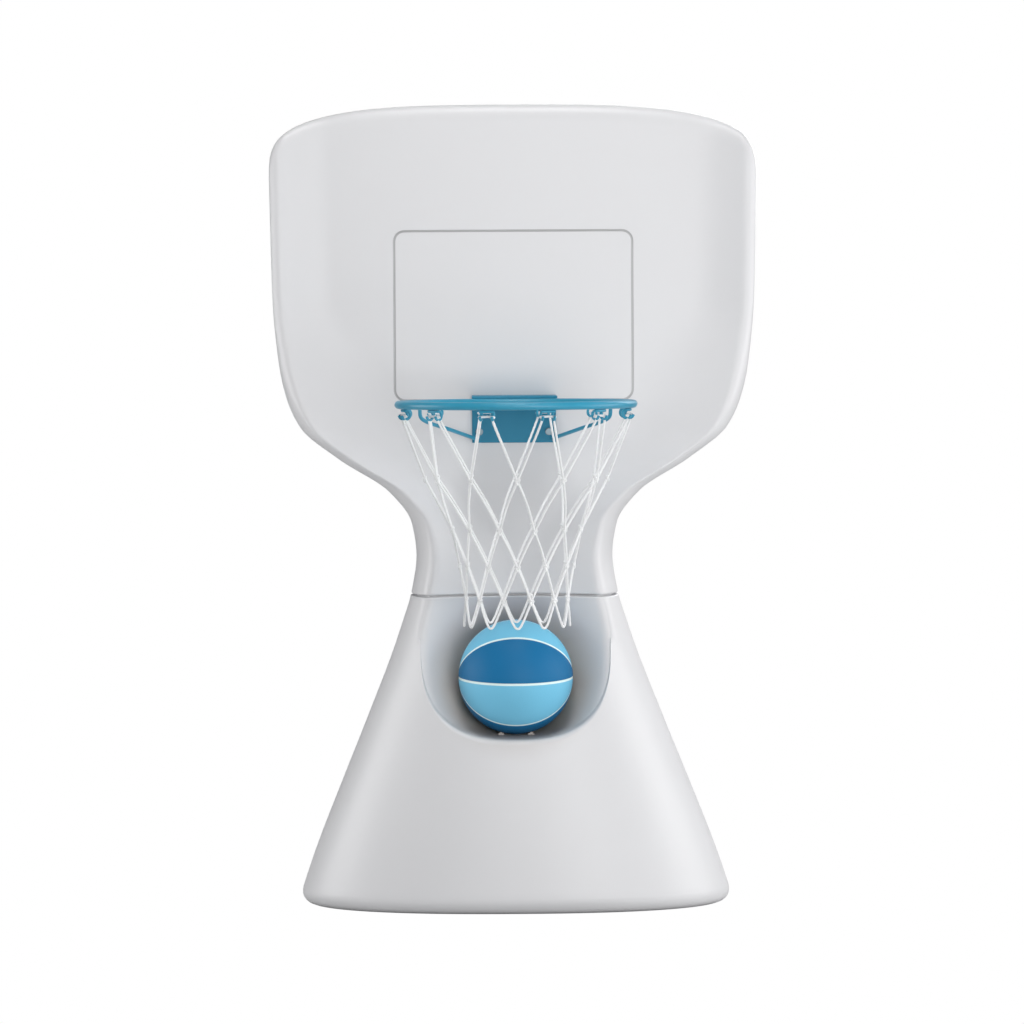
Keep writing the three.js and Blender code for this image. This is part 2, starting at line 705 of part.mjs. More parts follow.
// Plate on the board, bent forward at its top into a flange that lies on the ring
function rimBracket() {
  const plate = box(plateWidth, -plateThickness, 0, plateTop - plateHeight, plateTop, 0);
  const half = plateWidth / 2;
  const turn = Math.acos(half / rimRadius);
  const outline = new THREE.Shape();
  outline.moveTo(half, 0);
  outline.lineTo(-half, 0);
  outline.absarc(0, -rimForward, rimRadius, Math.PI - turn, turn, true);
  outline.closePath();
  const flange = new THREE.ExtrudeGeometry(outline,
    { depth: flangeThickness, bevelEnabled: false, curveSegments: 8 });
  flange.translate(0, 0, plateTop - flangeThickness);
  const holes = rimBoltPlaces.map(({ x, z }) =>
    rodAlongY(boltDiameter / 2 + slip, -overrun, overrun, x, z, 12));
  return toGeometry(cut(plate.add(solid(flange)), holes));
}
add('rim_bracket', rimBracket(), paint);

// Brace from the plate's lower corner out to the ring's underside
const braceTurnShare = 0.31;
const braceBendShare = 0.07;
const braceRise = 24;
const braceTipShare = 0.225;
function brace(side) {
  const turn = braceTurnShare * Math.PI;
  const end = new THREE.Vector3(rimRadius * Math.sin(turn), rimRadius * Math.cos(turn) - rimForward,
    rimHeight - rimRod / 2 - gap - braceTipShare * braceRod);
  const start = new THREE.Vector3(plateWidth / 2 - braceRod, -plateThickness - braceRod / 2 - gap,
    plateTop - plateHeight + braceRod + gap);
  const bend = end.clone().lerp(start, braceBendShare).setZ(end.z - braceRise);
  const points = [start, start.clone().lerp(bend, 1 / 2), bend, end];
  points.forEach((point) => { point.x *= side; });
  return rodAlong(new THREE.CatmullRomCurve3(points), braceRod, 12, 6);
}
add('brace_left', brace(-1), paint);
add('brace_right', brace(1), paint);

// Net hooks: two curled horns joined by a bar under the ring. x runs along the ring, y outwards.
const curlDrop = rimRod / 2 + hookRod / 2 + hookCurl + slip;
const curlLean = THREE.MathUtils.degToRad(curlLeanDegrees);
const hornTip = THREE.MathUtils.degToRad(hornTipDegrees);
const hornPoints = 8;
function netHook() {
  const centre = new THREE.Vector2(rimRadius - curlDrop * Math.cos(curlLean), -curlDrop * Math.sin(curlLean));
  const horn = Array.from({ length: hornPoints }, (_, i) => {
    const turn = THREE.MathUtils.lerp(hornTip, curlLean - 2 * Math.PI, i / (hornPoints - 1));
    return new THREE.Vector3(-hookSpan / 2, centre.x + hookCurl * Math.cos(turn),
      centre.y + hookCurl * Math.sin(turn));
  });
  const other = horn.map((point) => point.clone().setX(hookSpan / 2)).reverse();
  return rodAlong(new THREE.CatmullRomCurve3([...horn, ...other], false, 'centripetal'), hookRod, 15, 5);
}
const hookShape = netHook();
for (let i = 0; i < hookCount; i += 1) {
  const name = `net_hook_${String(i + 1).padStart(2, '0')}`;
  const hook = add(name, hookShape, paint, 0, -rimForward, rimHeight);
  hook.rotation.z = Math.PI + ((i + 1 / 2) / hookCount) * 2 * Math.PI;
}

// Net: one cord knotted into diamonds. Rows of knots go down by shares of the net's length, at
// shares of the ring's radius, and each row lies half a step round from the one above.
const netRowShares = [[0.3, 0.777], [0.54, 0.566], [0.713, 0.486], [0.875, 0.446], [1, 0.45]];
const tipDropShare = 0.93;
const tipHalfShare = 0.33;
const cordSides = 6;
const knotReach = 2 * cordDiameter;

// Ring of points round the cord, turned the same way all along it
function cordRing(centre, along, outwards) {
  const u = outwards.clone().addScaledVector(along, -outwards.dot(along)).normalize();
  const v = along.clone().cross(u);
  return Array.from({ length: cordSides }, (_, i) => {
    const turn = (i / cordSides) * 2 * Math.PI;
    return centre.clone().addScaledVector(u, (cordDiameter / 2) * Math.cos(turn))
      .addScaledVector(v, (cordDiameter / 2) * Math.sin(turn));
  });
}

// Cord through points from one knot to another. Its end rings are kept for the two knots.
function cordRun(points, knots, triangles) {
  const direction = (i) => points[i + 1].clone().sub(points[i]).normalize();
  const last = points.length - 1;
  const rings = points.map((point, i) => {
    const ahead = direction(Math.min(i, last - 1));
    const along = direction(Math.max(i - 1, 0)).add(ahead).normalize();
    const pulled = (i === 0 ? knotReach : 0) - (i === last ? knotReach : 0);
    const outwards = new THREE.Vector3(point.x, point.y, 0).normalize();
    return cordRing(point.clone().addScaledVector(along, pulled), along, outwards);
  });
  knots[0].push(rings[0]);
  knots[1].push(rings[last]);
  rings.slice(1).forEach((ring, i) => {
    for (let side = 0; side < cordSides; side += 1) {
      const next = (side + 1) % cordSides;
      triangles.push(rings[i][side], rings[i][next], ring[next], rings[i][side], ring[next], ring[side]);
    }
  });
}

// A knot is the hull of the four cord ends that meet in it, open where they join it
function knotFaces(rings, triangles) {
  const owner = new Map(rings.flatMap((ring, i) => ring.map((point) => [point, i])));
  const hull = new ConvexHull().setFromPoints([...owner.keys()]);
  for (const face of hull.faces) {
    const corners = [0, 1, 2].map((i) => face.getEdge(i).head().point);
    if (new Set(corners.map((corner) => owner.get(corner))).size > 1) triangles.push(...corners);
  }
}

function netForm() {
  const topRadius = rimRadius - curlDrop * Math.cos(curlLean);
  const topDrop = curlDrop * Math.sin(curlLean) + hookCurl - (hookRod + cordDiameter) / 2 - gap;
  const stepTurn = (2 * Math.PI) / hookCount;
  // Steps round from the front, at a ring's radius and a drop, moved along the ring's tangent
  const at = (turns, ring, drop, along = 0) => new THREE.Vector3(
    ring * Math.sin(turns * stepTurn) + along * Math.cos(turns * stepTurn),
    along * Math.sin(turns * stepTurn) - ring * Math.cos(turns * stepTurn), -drop);
  const rows = netRowShares.map(([drop, share]) => ({
    drop: topDrop + drop * netLength,
    ring: share * rimRadius,
    knots: Array.from({ length: hookCount }, () => []),
  }));
  const halfBar = (hookSpan + hookRod) / 2 + cordDiameter;
  const triangles = [];
  for (let i = 0; i < hookCount; i += 1) {
    const after = (i + 1) % hookCount;
    const first = rows[0];
    cordRun([at(i, first.ring, first.drop), at(i + 1 / 2, topRadius, topDrop, -halfBar),
      at(i + 1 / 2, topRadius, topDrop, halfBar), at(i + 1, first.ring, first.drop)],
    [first.knots[i], first.knots[after]], triangles);
    for (let row = 0; row < rows.length - 2; row += 1) {
      // Odd rows lie half a step on, so their knots lead down to this step and the next
      const upper = rows[row];
      const lower = rows[row + 1];
      const turn = i + (row % 2) / 2;
      const left = row % 2 ? i : (i + hookCount - 1) % hookCount;
      const right = row % 2 ? after : i;
      cordRun([at(turn, upper.ring, upper.drop), at(turn - 1 / 2, lower.ring, lower.drop)],
        [upper.knots[i], lower.knots[left]], triangles);
      cordRun([at(turn, upper.ring, upper.drop), at(turn + 1 / 2, lower.ring, lower.drop)],
        [upper.knots[i], lower.knots[right]], triangles);
    }
    const [above, tip] = rows.slice(-2);
    const shoulder = THREE.MathUtils.lerp(above.drop, tip.drop, tipDropShare);
    cordRun([at(i + 1 / 2, above.ring, above.drop), at(i + 1 / 2 + tipHalfShare, tip.ring, shoulder),
      at(i + 1, tip.ring, tip.drop), at(i + 3 / 2 - tipHalfShare, tip.ring, shoulder),
      at(i + 3 / 2, above.ring, above.drop)], [above.knots[i], above.knots[after]], triangles);
  }
  for (const row of rows.slice(0, -1)) for (const rings of row.knots) knotFaces(rings, triangles);
  return new THREE.BufferGeometry().setFromPoints(triangles);
}
add('net', netForm(), cord, 0, -rimForward, rimHeight);

// Ball
add('ball', new THREE.SphereGeometry(ballRadius, 28, 16), ballSkin, 0, -ballForward, ballHeight);

// Caps of the water fittings: a flange with a grip bar, and a plug in the bore
function waterCap(diameter, bore) {
  const grip = diameter / 2;
  const plug = bore / 2 - slip;
  const body = solid(turned([[0, -2 * capFlange], [plug, -2 * capFlange], [plug, 0], [diameter / 2, 0],
    [diameter / 2, capFlange], [0, capFlange]], 24));
  const bar = box(grip, capFlange / 2, 2 * capFlange, -plugWall, plugWall, 0);
  return toGeometry(body.add(bar));
}

function waterFitting(name, diameter, bore, seat, height) {
  const gasket = ringAboutY(bore / 2 + slip, diameter / 2 - slip, 0, gasketThickness, 24);
  add(`${name}_gasket`, gasket, rubber, 0, seat + gap, height);
  add(`${name}_cap`, waterCap(diameter, bore), capPlastic, 0, seat + gasketThickness + 2 * gap, height);
}
waterFitting('fill', fillCapDiameter, fillBore, fillSeat, fillHeight);
waterFitting('drain', drainCapDiameter, drainBore, drainSeat, drainHeight);

const bounds = new THREE.Box3().setFromObject(hoop);
hoop.position.y = -(bounds.min.y + bounds.max.y) / 2;

export default hoop;
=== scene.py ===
# %% [markdown]
# A poolside basketball hoop: a moulded base that is weighted with water and holds a spare ball, a
# moulded backboard on a neck, a painted steel ring and a knotted cord net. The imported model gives
# the real sizes and places. Here every piece that shows gets its fine surface and its finish.
# %% The fixed frame
import math
import bpy
import bmesh
import numpy as np
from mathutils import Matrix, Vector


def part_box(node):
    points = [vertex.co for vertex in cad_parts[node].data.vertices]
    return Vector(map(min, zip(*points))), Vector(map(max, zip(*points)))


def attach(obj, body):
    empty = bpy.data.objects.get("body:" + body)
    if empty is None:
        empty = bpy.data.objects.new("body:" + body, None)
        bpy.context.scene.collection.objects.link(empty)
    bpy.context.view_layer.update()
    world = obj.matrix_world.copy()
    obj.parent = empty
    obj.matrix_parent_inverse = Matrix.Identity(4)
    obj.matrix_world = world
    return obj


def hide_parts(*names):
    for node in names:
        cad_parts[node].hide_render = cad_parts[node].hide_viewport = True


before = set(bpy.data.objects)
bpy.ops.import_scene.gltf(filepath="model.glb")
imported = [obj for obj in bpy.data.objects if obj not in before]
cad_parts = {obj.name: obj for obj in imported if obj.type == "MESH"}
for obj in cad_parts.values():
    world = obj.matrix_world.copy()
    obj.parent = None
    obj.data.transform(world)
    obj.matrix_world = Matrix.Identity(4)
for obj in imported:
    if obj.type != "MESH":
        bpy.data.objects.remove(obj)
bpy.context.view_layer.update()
ball_low, ball_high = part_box("ball")
ball_centre = (np.array(ball_low) + np.array(ball_high)) / 2
BOARD_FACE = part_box("rim_bracket")[1].y
GAP = 0.0003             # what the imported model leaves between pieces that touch


def new_object(name, data):
    """An object in the scene that shows the given mesh, light or camera."""
    obj = bpy.data.objects.new(name, data)
    bpy.context.scene.collection.objects.link(obj)
    return obj


# %% [markdown]
# The photograph was taken with a long lens from about nine metres, a little above the ring and a
# hand's width to the left of the middle. A long lens keeps the sides of the board nearly parallel.
# The camera was a third of a degree off level, so the base stands a little to the right.
# %% Camera
LENS_MM, SENSOR_MM = 157.2, 36
CAMERA_PLACE = (-0.10, BOARD_FACE - 9.38, 1.209)
PITCH_DOWN, ROLL, YAW_RIGHT = math.radians(1.69), math.radians(0.31), math.radians(0.598)
SHIFT = (-0.0005, -0.0492)
camera_data = bpy.data.cameras.new("camera")
camera_data.lens, camera_data.sensor_width = LENS_MM, SENSOR_MM
camera_data.shift_x, camera_data.shift_y = SHIFT
camera = new_object("camera", camera_data)
camera.location = CAMERA_PLACE
camera.rotation_euler = (math.pi / 2 - PITCH_DOWN, ROLL, -YAW_RIGHT)
bpy.context.scene.camera = camera
bpy.context.scene.view_settings.view_transform = "Standard"

# %% [markdown]
# Each surface below is a grid of points that is worked out all at once. Helpers turn a grid into
# a mesh, weld and turn its faces, and join the finished piece to its body.
# %% From a grid of points to a piece


def grid_faces(rows, columns, closed_rows=False):
    """Quads of a grid whose columns close into a loop: corner, next column, both, next row."""
    row = np.arange(rows if closed_rows else rows - 1)[:, None]
    column = np.arange(columns)[None, :]
    after_row, after_column = (row + 1) % rows, (column + 1) % columns
    quads = np.stack([row * columns + column, row * columns + after_column,
                      after_row * columns + after_column, after_row * columns + column], -1)
    return quads.reshape(-1, 4)


def cleaned(mesh, merge=None):
    """The mesh with its faces turned outwards. Where merge is given, points closer than that
    become one first, which closes seams and poles."""
    work = bmesh.new()
    work.from_mesh(mesh)
    if merge:
        bmesh.ops.remove_doubles(work, verts=work.verts, dist=merge)
        bmesh.ops.dissolve_degenerate(work, edges=work.edges, dist=merge)
    bmesh.ops.recalc_face_normals(work, faces=work.faces)
    work.to_mesh(mesh)
    work.free()
    return mesh


def new_mesh(name, points, faces, merge=None):
    """A mesh from arrays, cleaned where merge is given."""
    mesh = bpy.data.meshes.new(name)
    mesh.from_pydata(points.reshape(-1, 3).tolist(), [], faces.tolist())
    if merge:
        cleaned(mesh, merge)
    mesh.update()
    return mesh


def point_values(mesh, name, values):
    """Keeps one number for each point of a mesh, for its material to read."""
    layer = mesh.attributes.new(name, "FLOAT", "POINT")
    layer.data.foreach_set("value", np.ravel(values).astype(np.float32))


def piece(name, mesh, body, material, slot, *nodes, sharp=None):
    """Puts a finished mesh in the scene as a piece that stands for the named nodes. Edges that
    turn by more than sharp degrees stay sharp."""
    obj = new_object(name, mesh)
    mesh.materials.clear()
    mesh.materials.append(material)
    mesh.polygons.foreach_set("use_smooth", np.ones(len(mesh.polygons), bool))
    if sharp:
        mesh.set_sharp_from_angle(angle=math.radians(sharp))
    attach(obj, body)
    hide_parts(*nodes)
    print(name, len(mesh.vertices), "points", len(mesh.polygons), "faces")


# %% [markdown]
# Finishes are made of nodes that read Object coordinates, so a pattern stays on its piece. The
# small steps of colour and roughness are what keeps a moulded or painted surface from looking flat.
# %% Material helpers
DRIFT_DETAIL, GRAIN_DETAIL, GRAIN_HEIGHT = 4, 3, 0.0006


def feed(owner, socket, value):
    """Gives a socket of a material or world a constant, or a link from another node's output."""
    if isinstance(value, bpy.types.NodeSocket):
        owner.node_tree.links.new(value, socket)
    else:
        socket.default_value = value


def add_node(owner, kind, sockets, **options):
    """A new node in a material or world, with its options set and then its sockets fed."""
    node = owner.node_tree.nodes.new("ShaderNode" + kind)
    for option, value in options.items():
        setattr(node, option, value)
    for socket, value in sockets.items():
        feed(owner, node.inputs[socket], value)
    return node


def colour_mix(owner, factor, a, b):
    """Colour a where factor is 0, colour b where it is 1."""
    sockets = {"Factor": factor, "A": a, "B": b}
    return add_node(owner, "Mix", sockets, data_type="RGBA").outputs["Result"]


def attribute(owner, name):
    """The number that a mesh keeps for its points under a name."""
    return add_node(owner, "Attribute", {}, attribute_name=name).outputs["Fac"]


def object_place(owner):
    """Object coordinates."""
    return add_node(owner, "TexCoord", {}).outputs["Object"]


def surface(material):
    """Sockets of the material's shader."""
    return material.node_tree.nodes["Principled BSDF"].inputs


def finish(name, colour, roughness, metallic=0.0, mottle=0.02, mottle_size=8.0, grain=0.0,
           grain_size=900.0, rough_spread=0.05, **sockets):
    """A material whose colour and roughness drift with noise, with a fine grain as bump."""
    material = bpy.data.materials.new(name)
    material.use_nodes = True
    shader = surface(material)
    shader["Metallic"].default_value = metallic
    for socket, value in sockets.items():
        shader[socket.replace("_", " ")].default_value = value
    place = object_place(material)
    drift = add_node(material, "TexNoise", {"Scale": mottle_size, "Detail": DRIFT_DETAIL,
                                            "Vector": place}).outputs["Fac"]
    duller = (*[c * (1 - mottle) for c in colour], 1)
    brighter = (*[min(1, c * (1 + mottle)) for c in colour], 1)
    feed(material, shader["Base Color"], colour_mix(material, drift, duller, brighter))
    gloss = add_node(material, "MapRange", {"Value": drift, "To Min": roughness - rough_spread,
                                            "To Max": roughness + rough_spread})
    feed(material, shader["Roughness"], gloss.outputs["Result"])
    if grain:
        fine = add_node(material, "TexNoise", {"Scale": grain_size, "Detail": GRAIN_DETAIL,
                                               "Vector": place})
        bump = add_node(material, "Bump", {"Strength": grain, "Distance": GRAIN_HEIGHT,
                                           "Height": fine.outputs["Fac"]})
        feed(material, shader["Normal"], bump.outputs["Normal"])
    return material


# %% Finishes
moulding = finish("moulded_plastic", (0.74, 0.741, 0.757), 0.40, mottle=0.012, mottle_size=3.0,
                  grain=0.16, grain_size=420.0)
rim_paint = finish("rim_paint", (0.032, 0.300, 0.460), 0.36, mottle=0.05, mottle_size=14.0,
                   grain=0.08, grain_size=260.0)
plate_paint = finish("plate_paint", (0.026, 0.240, 0.385), 0.50, mottle=0.05, mottle_size=14.0,
                     grain=0.10, grain_size=260.0, Specular_IOR_Level=0.3)
plated_steel = finish("plated_steel", (0.30, 0.38, 0.42), 0.5, metallic=1.0, mottle=0.05,
                      mottle_size=120.0, grain=0.12, grain_size=1800.0)
washer_steel = finish("washer_steel", (0.26, 0.31, 0.34), 0.45, metallic=1.0, mottle=0.05,
                      mottle_size=120.0, grain=0.12, grain_size=1800.0)
turned_brass = finish("turned_brass", (0.56, 0.40, 0.14), 0.32, metallic=1.0, mottle=0.06,
                      mottle_size=150.0, grain=0.15, grain_size=2200.0)
cap_plastic = finish("cap_plastic", (0.30, 0.31, 0.33), 0.5, mottle=0.03, mottle_size=60.0,
                     grain=0.25, grain_size=1500.0)
gasket_rubber = finish("gasket_rubber", (0.02, 0.02, 0.022), 0.75, mottle=0.08, mottle_size=90.0,
                       grain=0.3, grain_size=1600.0)
net_cord = finish("net_cord", (0.86, 0.87, 0.88), 0.72, mottle=0.03, mottle_size=60.0, grain=0.35,
                  grain_size=1400.0, Sheen_Weight=0.3, Sheen_Roughness=0.5)

# %% [markdown]
# The moulding's colour has two painted shades. It is duller and warmer in the pocket, a painted
# shadow round the ball that fades with the distance from a point behind it and offsets the ball's
# blue bounce light, and it is darker on the sunk line of the board, a painted shade in the groove.
# %% Painted shade on the moulding
# Painted shade: a warm, dull colour for the painted shadow round the ball, and a darker one for the
# groove.
POCKET_PAINTED_SHADE, LINE_PAINTED_SHADE = (0.47, 0.42, 0.38, 1), (0.53, 0.53, 0.54, 1)
SHADE_CENTRE = ball_centre + [0, 0.05, -0.03]
SHADE_WHOLE, SHADE_GONE = 0.11, 0.215          # distances from that centre
ON_LINE, OFF_LINE = 0.9, 0.1


def paint_in_shade(material, share, colour, low, high):
    """Mixes a colour into the base colour: wholly where share is at low, and none at high."""
    base_colour = surface(material)["Base Color"]
    before = base_colour.links[0].from_socket
    step = add_node(material, "MapRange", {"Value": share, "From Min": low, "From Max": high},
                    interpolation_type="SMOOTHSTEP")
    feed(material, base_colour, colour_mix(material, step.outputs["Result"], colour, before))


# Painted shadow in the pocket: wholly the shade colour within the first distance of that centre,
# gone by the second.
away = add_node(moulding, "VectorMath", {0: object_place(moulding), 1: tuple(SHADE_CENTRE)},
                operation="DISTANCE")
paint_in_shade(moulding, away.outputs["Value"], POCKET_PAINTED_SHADE, SHADE_WHOLE, SHADE_GONE)
# Painted shade in the groove: the floor of the sunk line is darker, read from the points marked on
# it.
paint_in_shade(moulding, attribute(moulding, "sunk_line_shade"), LINE_PAINTED_SHADE, ON_LINE, OFF_LINE)

# %% [markdown]
# Base and backboard are rotationally moulded shells that share one flowing form. Every level is
# a loop: a face or pocket in front, a rounded ridge on each side of it, bowed flanks and a back.
# The widths and depths of the levels are smooth curves through a few stations. Two soft functions
# join surfaces as a mould does, with a fillet where one meets the next.
# %% Smooth curves and soft joins
ALMOST = 0.999           # a share that stops just short of the whole


def through(stations):
    """A curve through (height, value) stations that never overshoots: cubic pieces whose slope
    at a station is the harmonic mean of the slopes on both sides, or zero at a peak."""
    x, y = np.array(stations, float).T
    slope = np.diff(y) / np.diff(x)
    before, after = np.r_[slope[0], slope], np.r_[slope, slope[-1]]
    same = before * after > 0
    tangent = np.where(same, 2 * before * after / np.where(same, before + after, 1), 0)

    def at(height):
        height = np.clip(height, x[0], x[-1])
        i = np.clip(np.searchsorted(x, height, side="right") - 1, 0, len(x) - 2)
        span = x[i + 1] - x[i]
        t = (height - x[i]) / span
        bend = tangent[i] * t * (1 - t) ** 2 - tangent[i + 1] * t ** 2 * (1 - t)
        return y[i] * (1 + 2 * t) * (1 - t) ** 2 + y[i + 1] * t ** 2 * (3 - 2 * t) + bend * span
    return at


def between(shares, low, high, first, last):
    """Stations given as shares of a height range and of a value range."""
    return [(low + (high - low) * rise, first + (last - first) * share) for rise, share in shares]


def arc(share, power):
    """Height of a superellipse of half sizes 1: (1 - |share|^power)^(1/power)."""
    return np.maximum(0, 1 - np.abs(share) ** power) ** (1 / power)


def soft_min(a, b, width):
    """The lesser of two, rounded where they are within width of each other."""
    return np.minimum(a, b) - width / 4 * np.maximum(0, 1 - np.abs(a - b) / width) ** 2


def soft_max(a, b, width):
    """The greater of two, rounded in the same way."""
    return -soft_min(-a, -b, width)


def mix(a, b, share):
    """Straight blend from a to b."""
    return a + (b - a) * share


# %% [markdown]
# A level has half its width, the depth of its widest line, its back and its ridges (from the
# board's face, backwards), how far the ridges lie inside the flanks, how much of the face is flat,
# how much the back follows the wings, and the power of the back's superellipse.
# %% The levels' widths and depths
SEAM, NECK, SIDE_TOP = 0.653, 0.735, 1.528                  # heights
HALF_FOOT, HALF_NECK, HALF_BOARD = 0.462, 0.207, 0.510
MIDDLE_FOOT, MIDDLE_SEAM, MIDDLE_BOARD = 0.092, 0.064, -0.014
BACK_FOOT, BACK_SEAM, BACK_NECK, BACK_BOARD = 0.430, 0.195, 0.186, 0.058
RIDGE_SEAM, RIDGE_BOARD = -0.060, -0.034
INSET_SEAM, INSET_BOARD = 0.038, 0.020
FRONT_FOOT, FRONT_POWER = -0.190, 2.4
flank = [(0, 1), (0.163, 0.839), (0.348, 0.629), (0.535, 0.412), (0.72, 0.204), (0.812, 0.114),
         (0.888, 0.047), (1, 0)]
flare = [(0, 0), (0.085, 0.031), (0.17, 0.19), (0.255, 0.528), (0.34, 0.795), (0.424, 0.894),
         (0.508, 0.94), (0.676, 0.98), (1, 1)]
half_width = through(between(flank, 0, NECK, HALF_NECK, HALF_FOOT)
                     + between(flare, NECK, SIDE_TOP, HALF_NECK, HALF_BOARD)[1:])


def up_board(shares, first=0, last=1):
    """Stations from the neck to the top of the board's sides."""
    return between(shares, NECK, SIDE_TOP, first, last)


middle_depth = through([(0, MIDDLE_FOOT), (SEAM, MIDDLE_SEAM)] + up_board(
    [(0, 0), (0.12, 0.1), (0.5, 0.85), (0.7, 1)], MIDDLE_SEAM, MIDDLE_BOARD))
back_depth = through([(0, BACK_FOOT), (SEAM, BACK_SEAM)] + up_board(
    [(0, 0), (0.2, 0.3), (0.45, 0.85), (0.6, 1)], BACK_NECK, BACK_BOARD))
ridge_depth = through([(SEAM, RIDGE_SEAM)] + up_board(
    [(0, 0), (0.3, 0.25), (0.6, 1)], RIDGE_SEAM, RIDGE_BOARD))
ridge_inset = through([(SEAM, INSET_SEAM)] + up_board(
    [(0, 0), (0.3, 0.5), (0.6, 1)], INSET_SEAM, INSET_BOARD))
flat_share = through([(SEAM, 0), (NECK, 0.05)] + up_board(
    [(0.12, 0.45), (0.22, 0.52), (0.4, 0.52), (0.65, 0.78)]))
wing_share = through([(NECK, 0)] + up_board([(0.2, 0.1), (0.5, 1)]))
back_power = through([(0, 2.5), (SEAM, 3)] + up_board([(0.1, 3), (0.35, 6), (0.6, 16)]))
SEAM_RIDGE = float(half_width(SEAM)) - INSET_SEAM
SEAM_REACH = (MIDDLE_SEAM - RIDGE_SEAM) / float(arc(SEAM_RIDGE / half_width(SEAM), FRONT_POWER))
print("half width at the ground, neck and board", half_width(np.array([0, NECK, SIDE_TOP])))

# %% Columns of a level
FACE_COLUMNS, SIDE_COLUMNS, CORNER_COLUMNS, BACK_COLUMNS = 58, 26, 24, 14
CORNER_TURN, SIDE_CROWDING = np.radians(80), 1.5


def columns(height, ridge):
    """Distances from the middle of the points of half a loop, for its front and for its back:
    sines across the face, then a superellipse's turn round the side and the back."""
    width = half_width(height)
    face = ridge * np.sin(np.linspace(0, np.pi / 2, FACE_COLUMNS))[None, :]
    start = np.arccos(np.clip(ridge / width, 0, 1) ** (FRONT_POWER / 2))
    share = np.linspace(0, 1, SIDE_COLUMNS + 1)[None, 1:] ** SIDE_CROWDING
    side = width * np.cos(start * (1 - share)) ** (2 / FRONT_POWER)
    round_turn = CORNER_TURN * np.linspace(0, 1, CORNER_COLUMNS + 1)[None, 1:]
    corner = width * np.cos(round_turn) ** (2 / back_power(height))
    flat = corner[:, -1:] * np.linspace(1, 0, BACK_COLUMNS + 1)[None, 1:]
    return np.hstack([face, side]), np.hstack([corner, flat])


def full_loop(half):
    """Half a loop and its mirror image: x changes sign, both middles are kept once."""
    left = half[:, -2:0:-1] * np.array([-1, 1, 1])
    return np.concatenate([half, left], 1)


def inset(loops, amount):
    """Each loop moved inwards along its normal in plan by its row's amount."""
    along = np.roll(loops, -1, 1) - np.roll(loops, 1, 1)
    length = np.maximum(np.linalg.norm(along[..., :2], axis=-1, keepdims=True), 1e-9)
    inward = np.concatenate([-along[..., 1:2], along[..., 0:1], 0 * along[..., :1]], -1) / length
    return loops + inward * np.asarray(amount)[:, None, None]


def levels(start, *steps):
    """Heights after start, through each (end, count) step, even within a step."""
    parts = []
    for end, count in steps:
        parts.append(np.linspace(start, end, count)[1:])
        start = end
    return np.concatenate(parts)


# %% [markdown]
# The base bows out towards the ground. Its pocket is the front pushed back into a smooth bowl
# behind the ball, inside a U-shaped mouth with a soft lip. Two low rails in the floor carry the
# ball.
# %% Base front
POCKET_HALF, POCKET_SIDE, POCKET_FLOOR, POCKET_DEEP = 0.198, 0.553, 0.357, 0.068
MOUTH_POWER, BOWL_POWER, BOWL_FILLET, SHARE_MOST, LEAST_PUSH = 2.7, 1.3, 0.030, 1.5, 1e-6
FLOOR_FOOT, LIP, FLOOR_SLOPE = 0.348, 0.012, 13.0
RAIL_FROM, RAIL_HIGH, RAIL_PLACE, RAIL_SIDE, RAIL_FLAT = 0.060, 0.0055, 0.031, 0.0045, 1.6
LEAST_RIDGE, RIDGE_POWER = 0.09, 4
pocket_back = through(between([(0, 0.37), (0.08, 0.66), (0.22, 0.88), (0.42, 1), (0.62, 0.94),
                               (0.82, 0.5), (1, 0)], POCKET_FLOOR, SEAM, 0, POCKET_DEEP))


def mouth(height):
    """Half width of the pocket's mouth: a superelliptic U, which narrows above its sides until
    it meets the ridges of the neck."""
    drop = np.clip((POCKET_SIDE - height) / (POCKET_SIDE - FLOOR_FOOT), 0, ALMOST)
    rise = np.clip((height - POCKET_SIDE) / (SEAM - POCKET_SIDE), 0, 1)
    return mix(POCKET_HALF * arc(drop, MOUTH_POWER), SEAM_RIDGE, rise ** 2)


def floor_push(x, height):
    """How far back the pocket's floor lets the front go: a round lip along the U's lower curve,
    then a steep rise. Two rails begin RAIL_FROM behind the lip and hold the ball above it. A
    rail's height goes with the root of its flat share less the distance over its side's width."""
    floor = POCKET_SIDE - (POCKET_SIDE - FLOOR_FOOT) * arc(x / POCKET_HALF, MOUTH_POWER)
    above = np.maximum(0, height - floor)
    round_lip = LIP - np.sqrt(np.maximum(LIP ** 2 - np.minimum(above, LIP) ** 2, 0))
    side = np.clip(RAIL_FLAT - np.abs(x - RAIL_PLACE) / RAIL_SIDE, 0, 1)
    rail = RAIL_HIGH * side ** 0.5
    rise = FLOOR_SLOPE * np.maximum(0, above - LIP)
    return round_lip + np.maximum(np.minimum(rise, RAIL_FROM), rise - FLOOR_SLOPE * rail)


def base_front(x, height):
    """Depth of the base's front: the outer bow, pushed back by a bowl whose depth across the
    mouth goes with (1 - share^2)^1.3, and by no more than the floor lets it. The two pushes b and
    f join as (b^-3 + f^-3)^(-1/3)."""
    width, middle = half_width(height), middle_depth(height)
    front = mix(FRONT_FOOT, MIDDLE_SEAM - SEAM_REACH, height / SEAM)
    outer = middle - (middle - front) * arc(x / width, FRONT_POWER)
    ridge = mouth(height)
    rim = middle - (middle - front) * arc(ridge / width, FRONT_POWER)
    share = np.minimum(SHARE_MOST, np.abs(x / ridge)) ** 2
    across = np.where(share < 1, np.abs(1 - share) ** BOWL_POWER, 1 - share)
    bowl = mix(rim, pocket_back(height), across) - outer
    b = np.maximum(soft_max(0 * outer, bowl, BOWL_FILLET), LEAST_PUSH)
    f = np.maximum(floor_push(x, height), LEAST_PUSH)
    return outer + (b ** -3 + f ** -3) ** (-1 / 3)


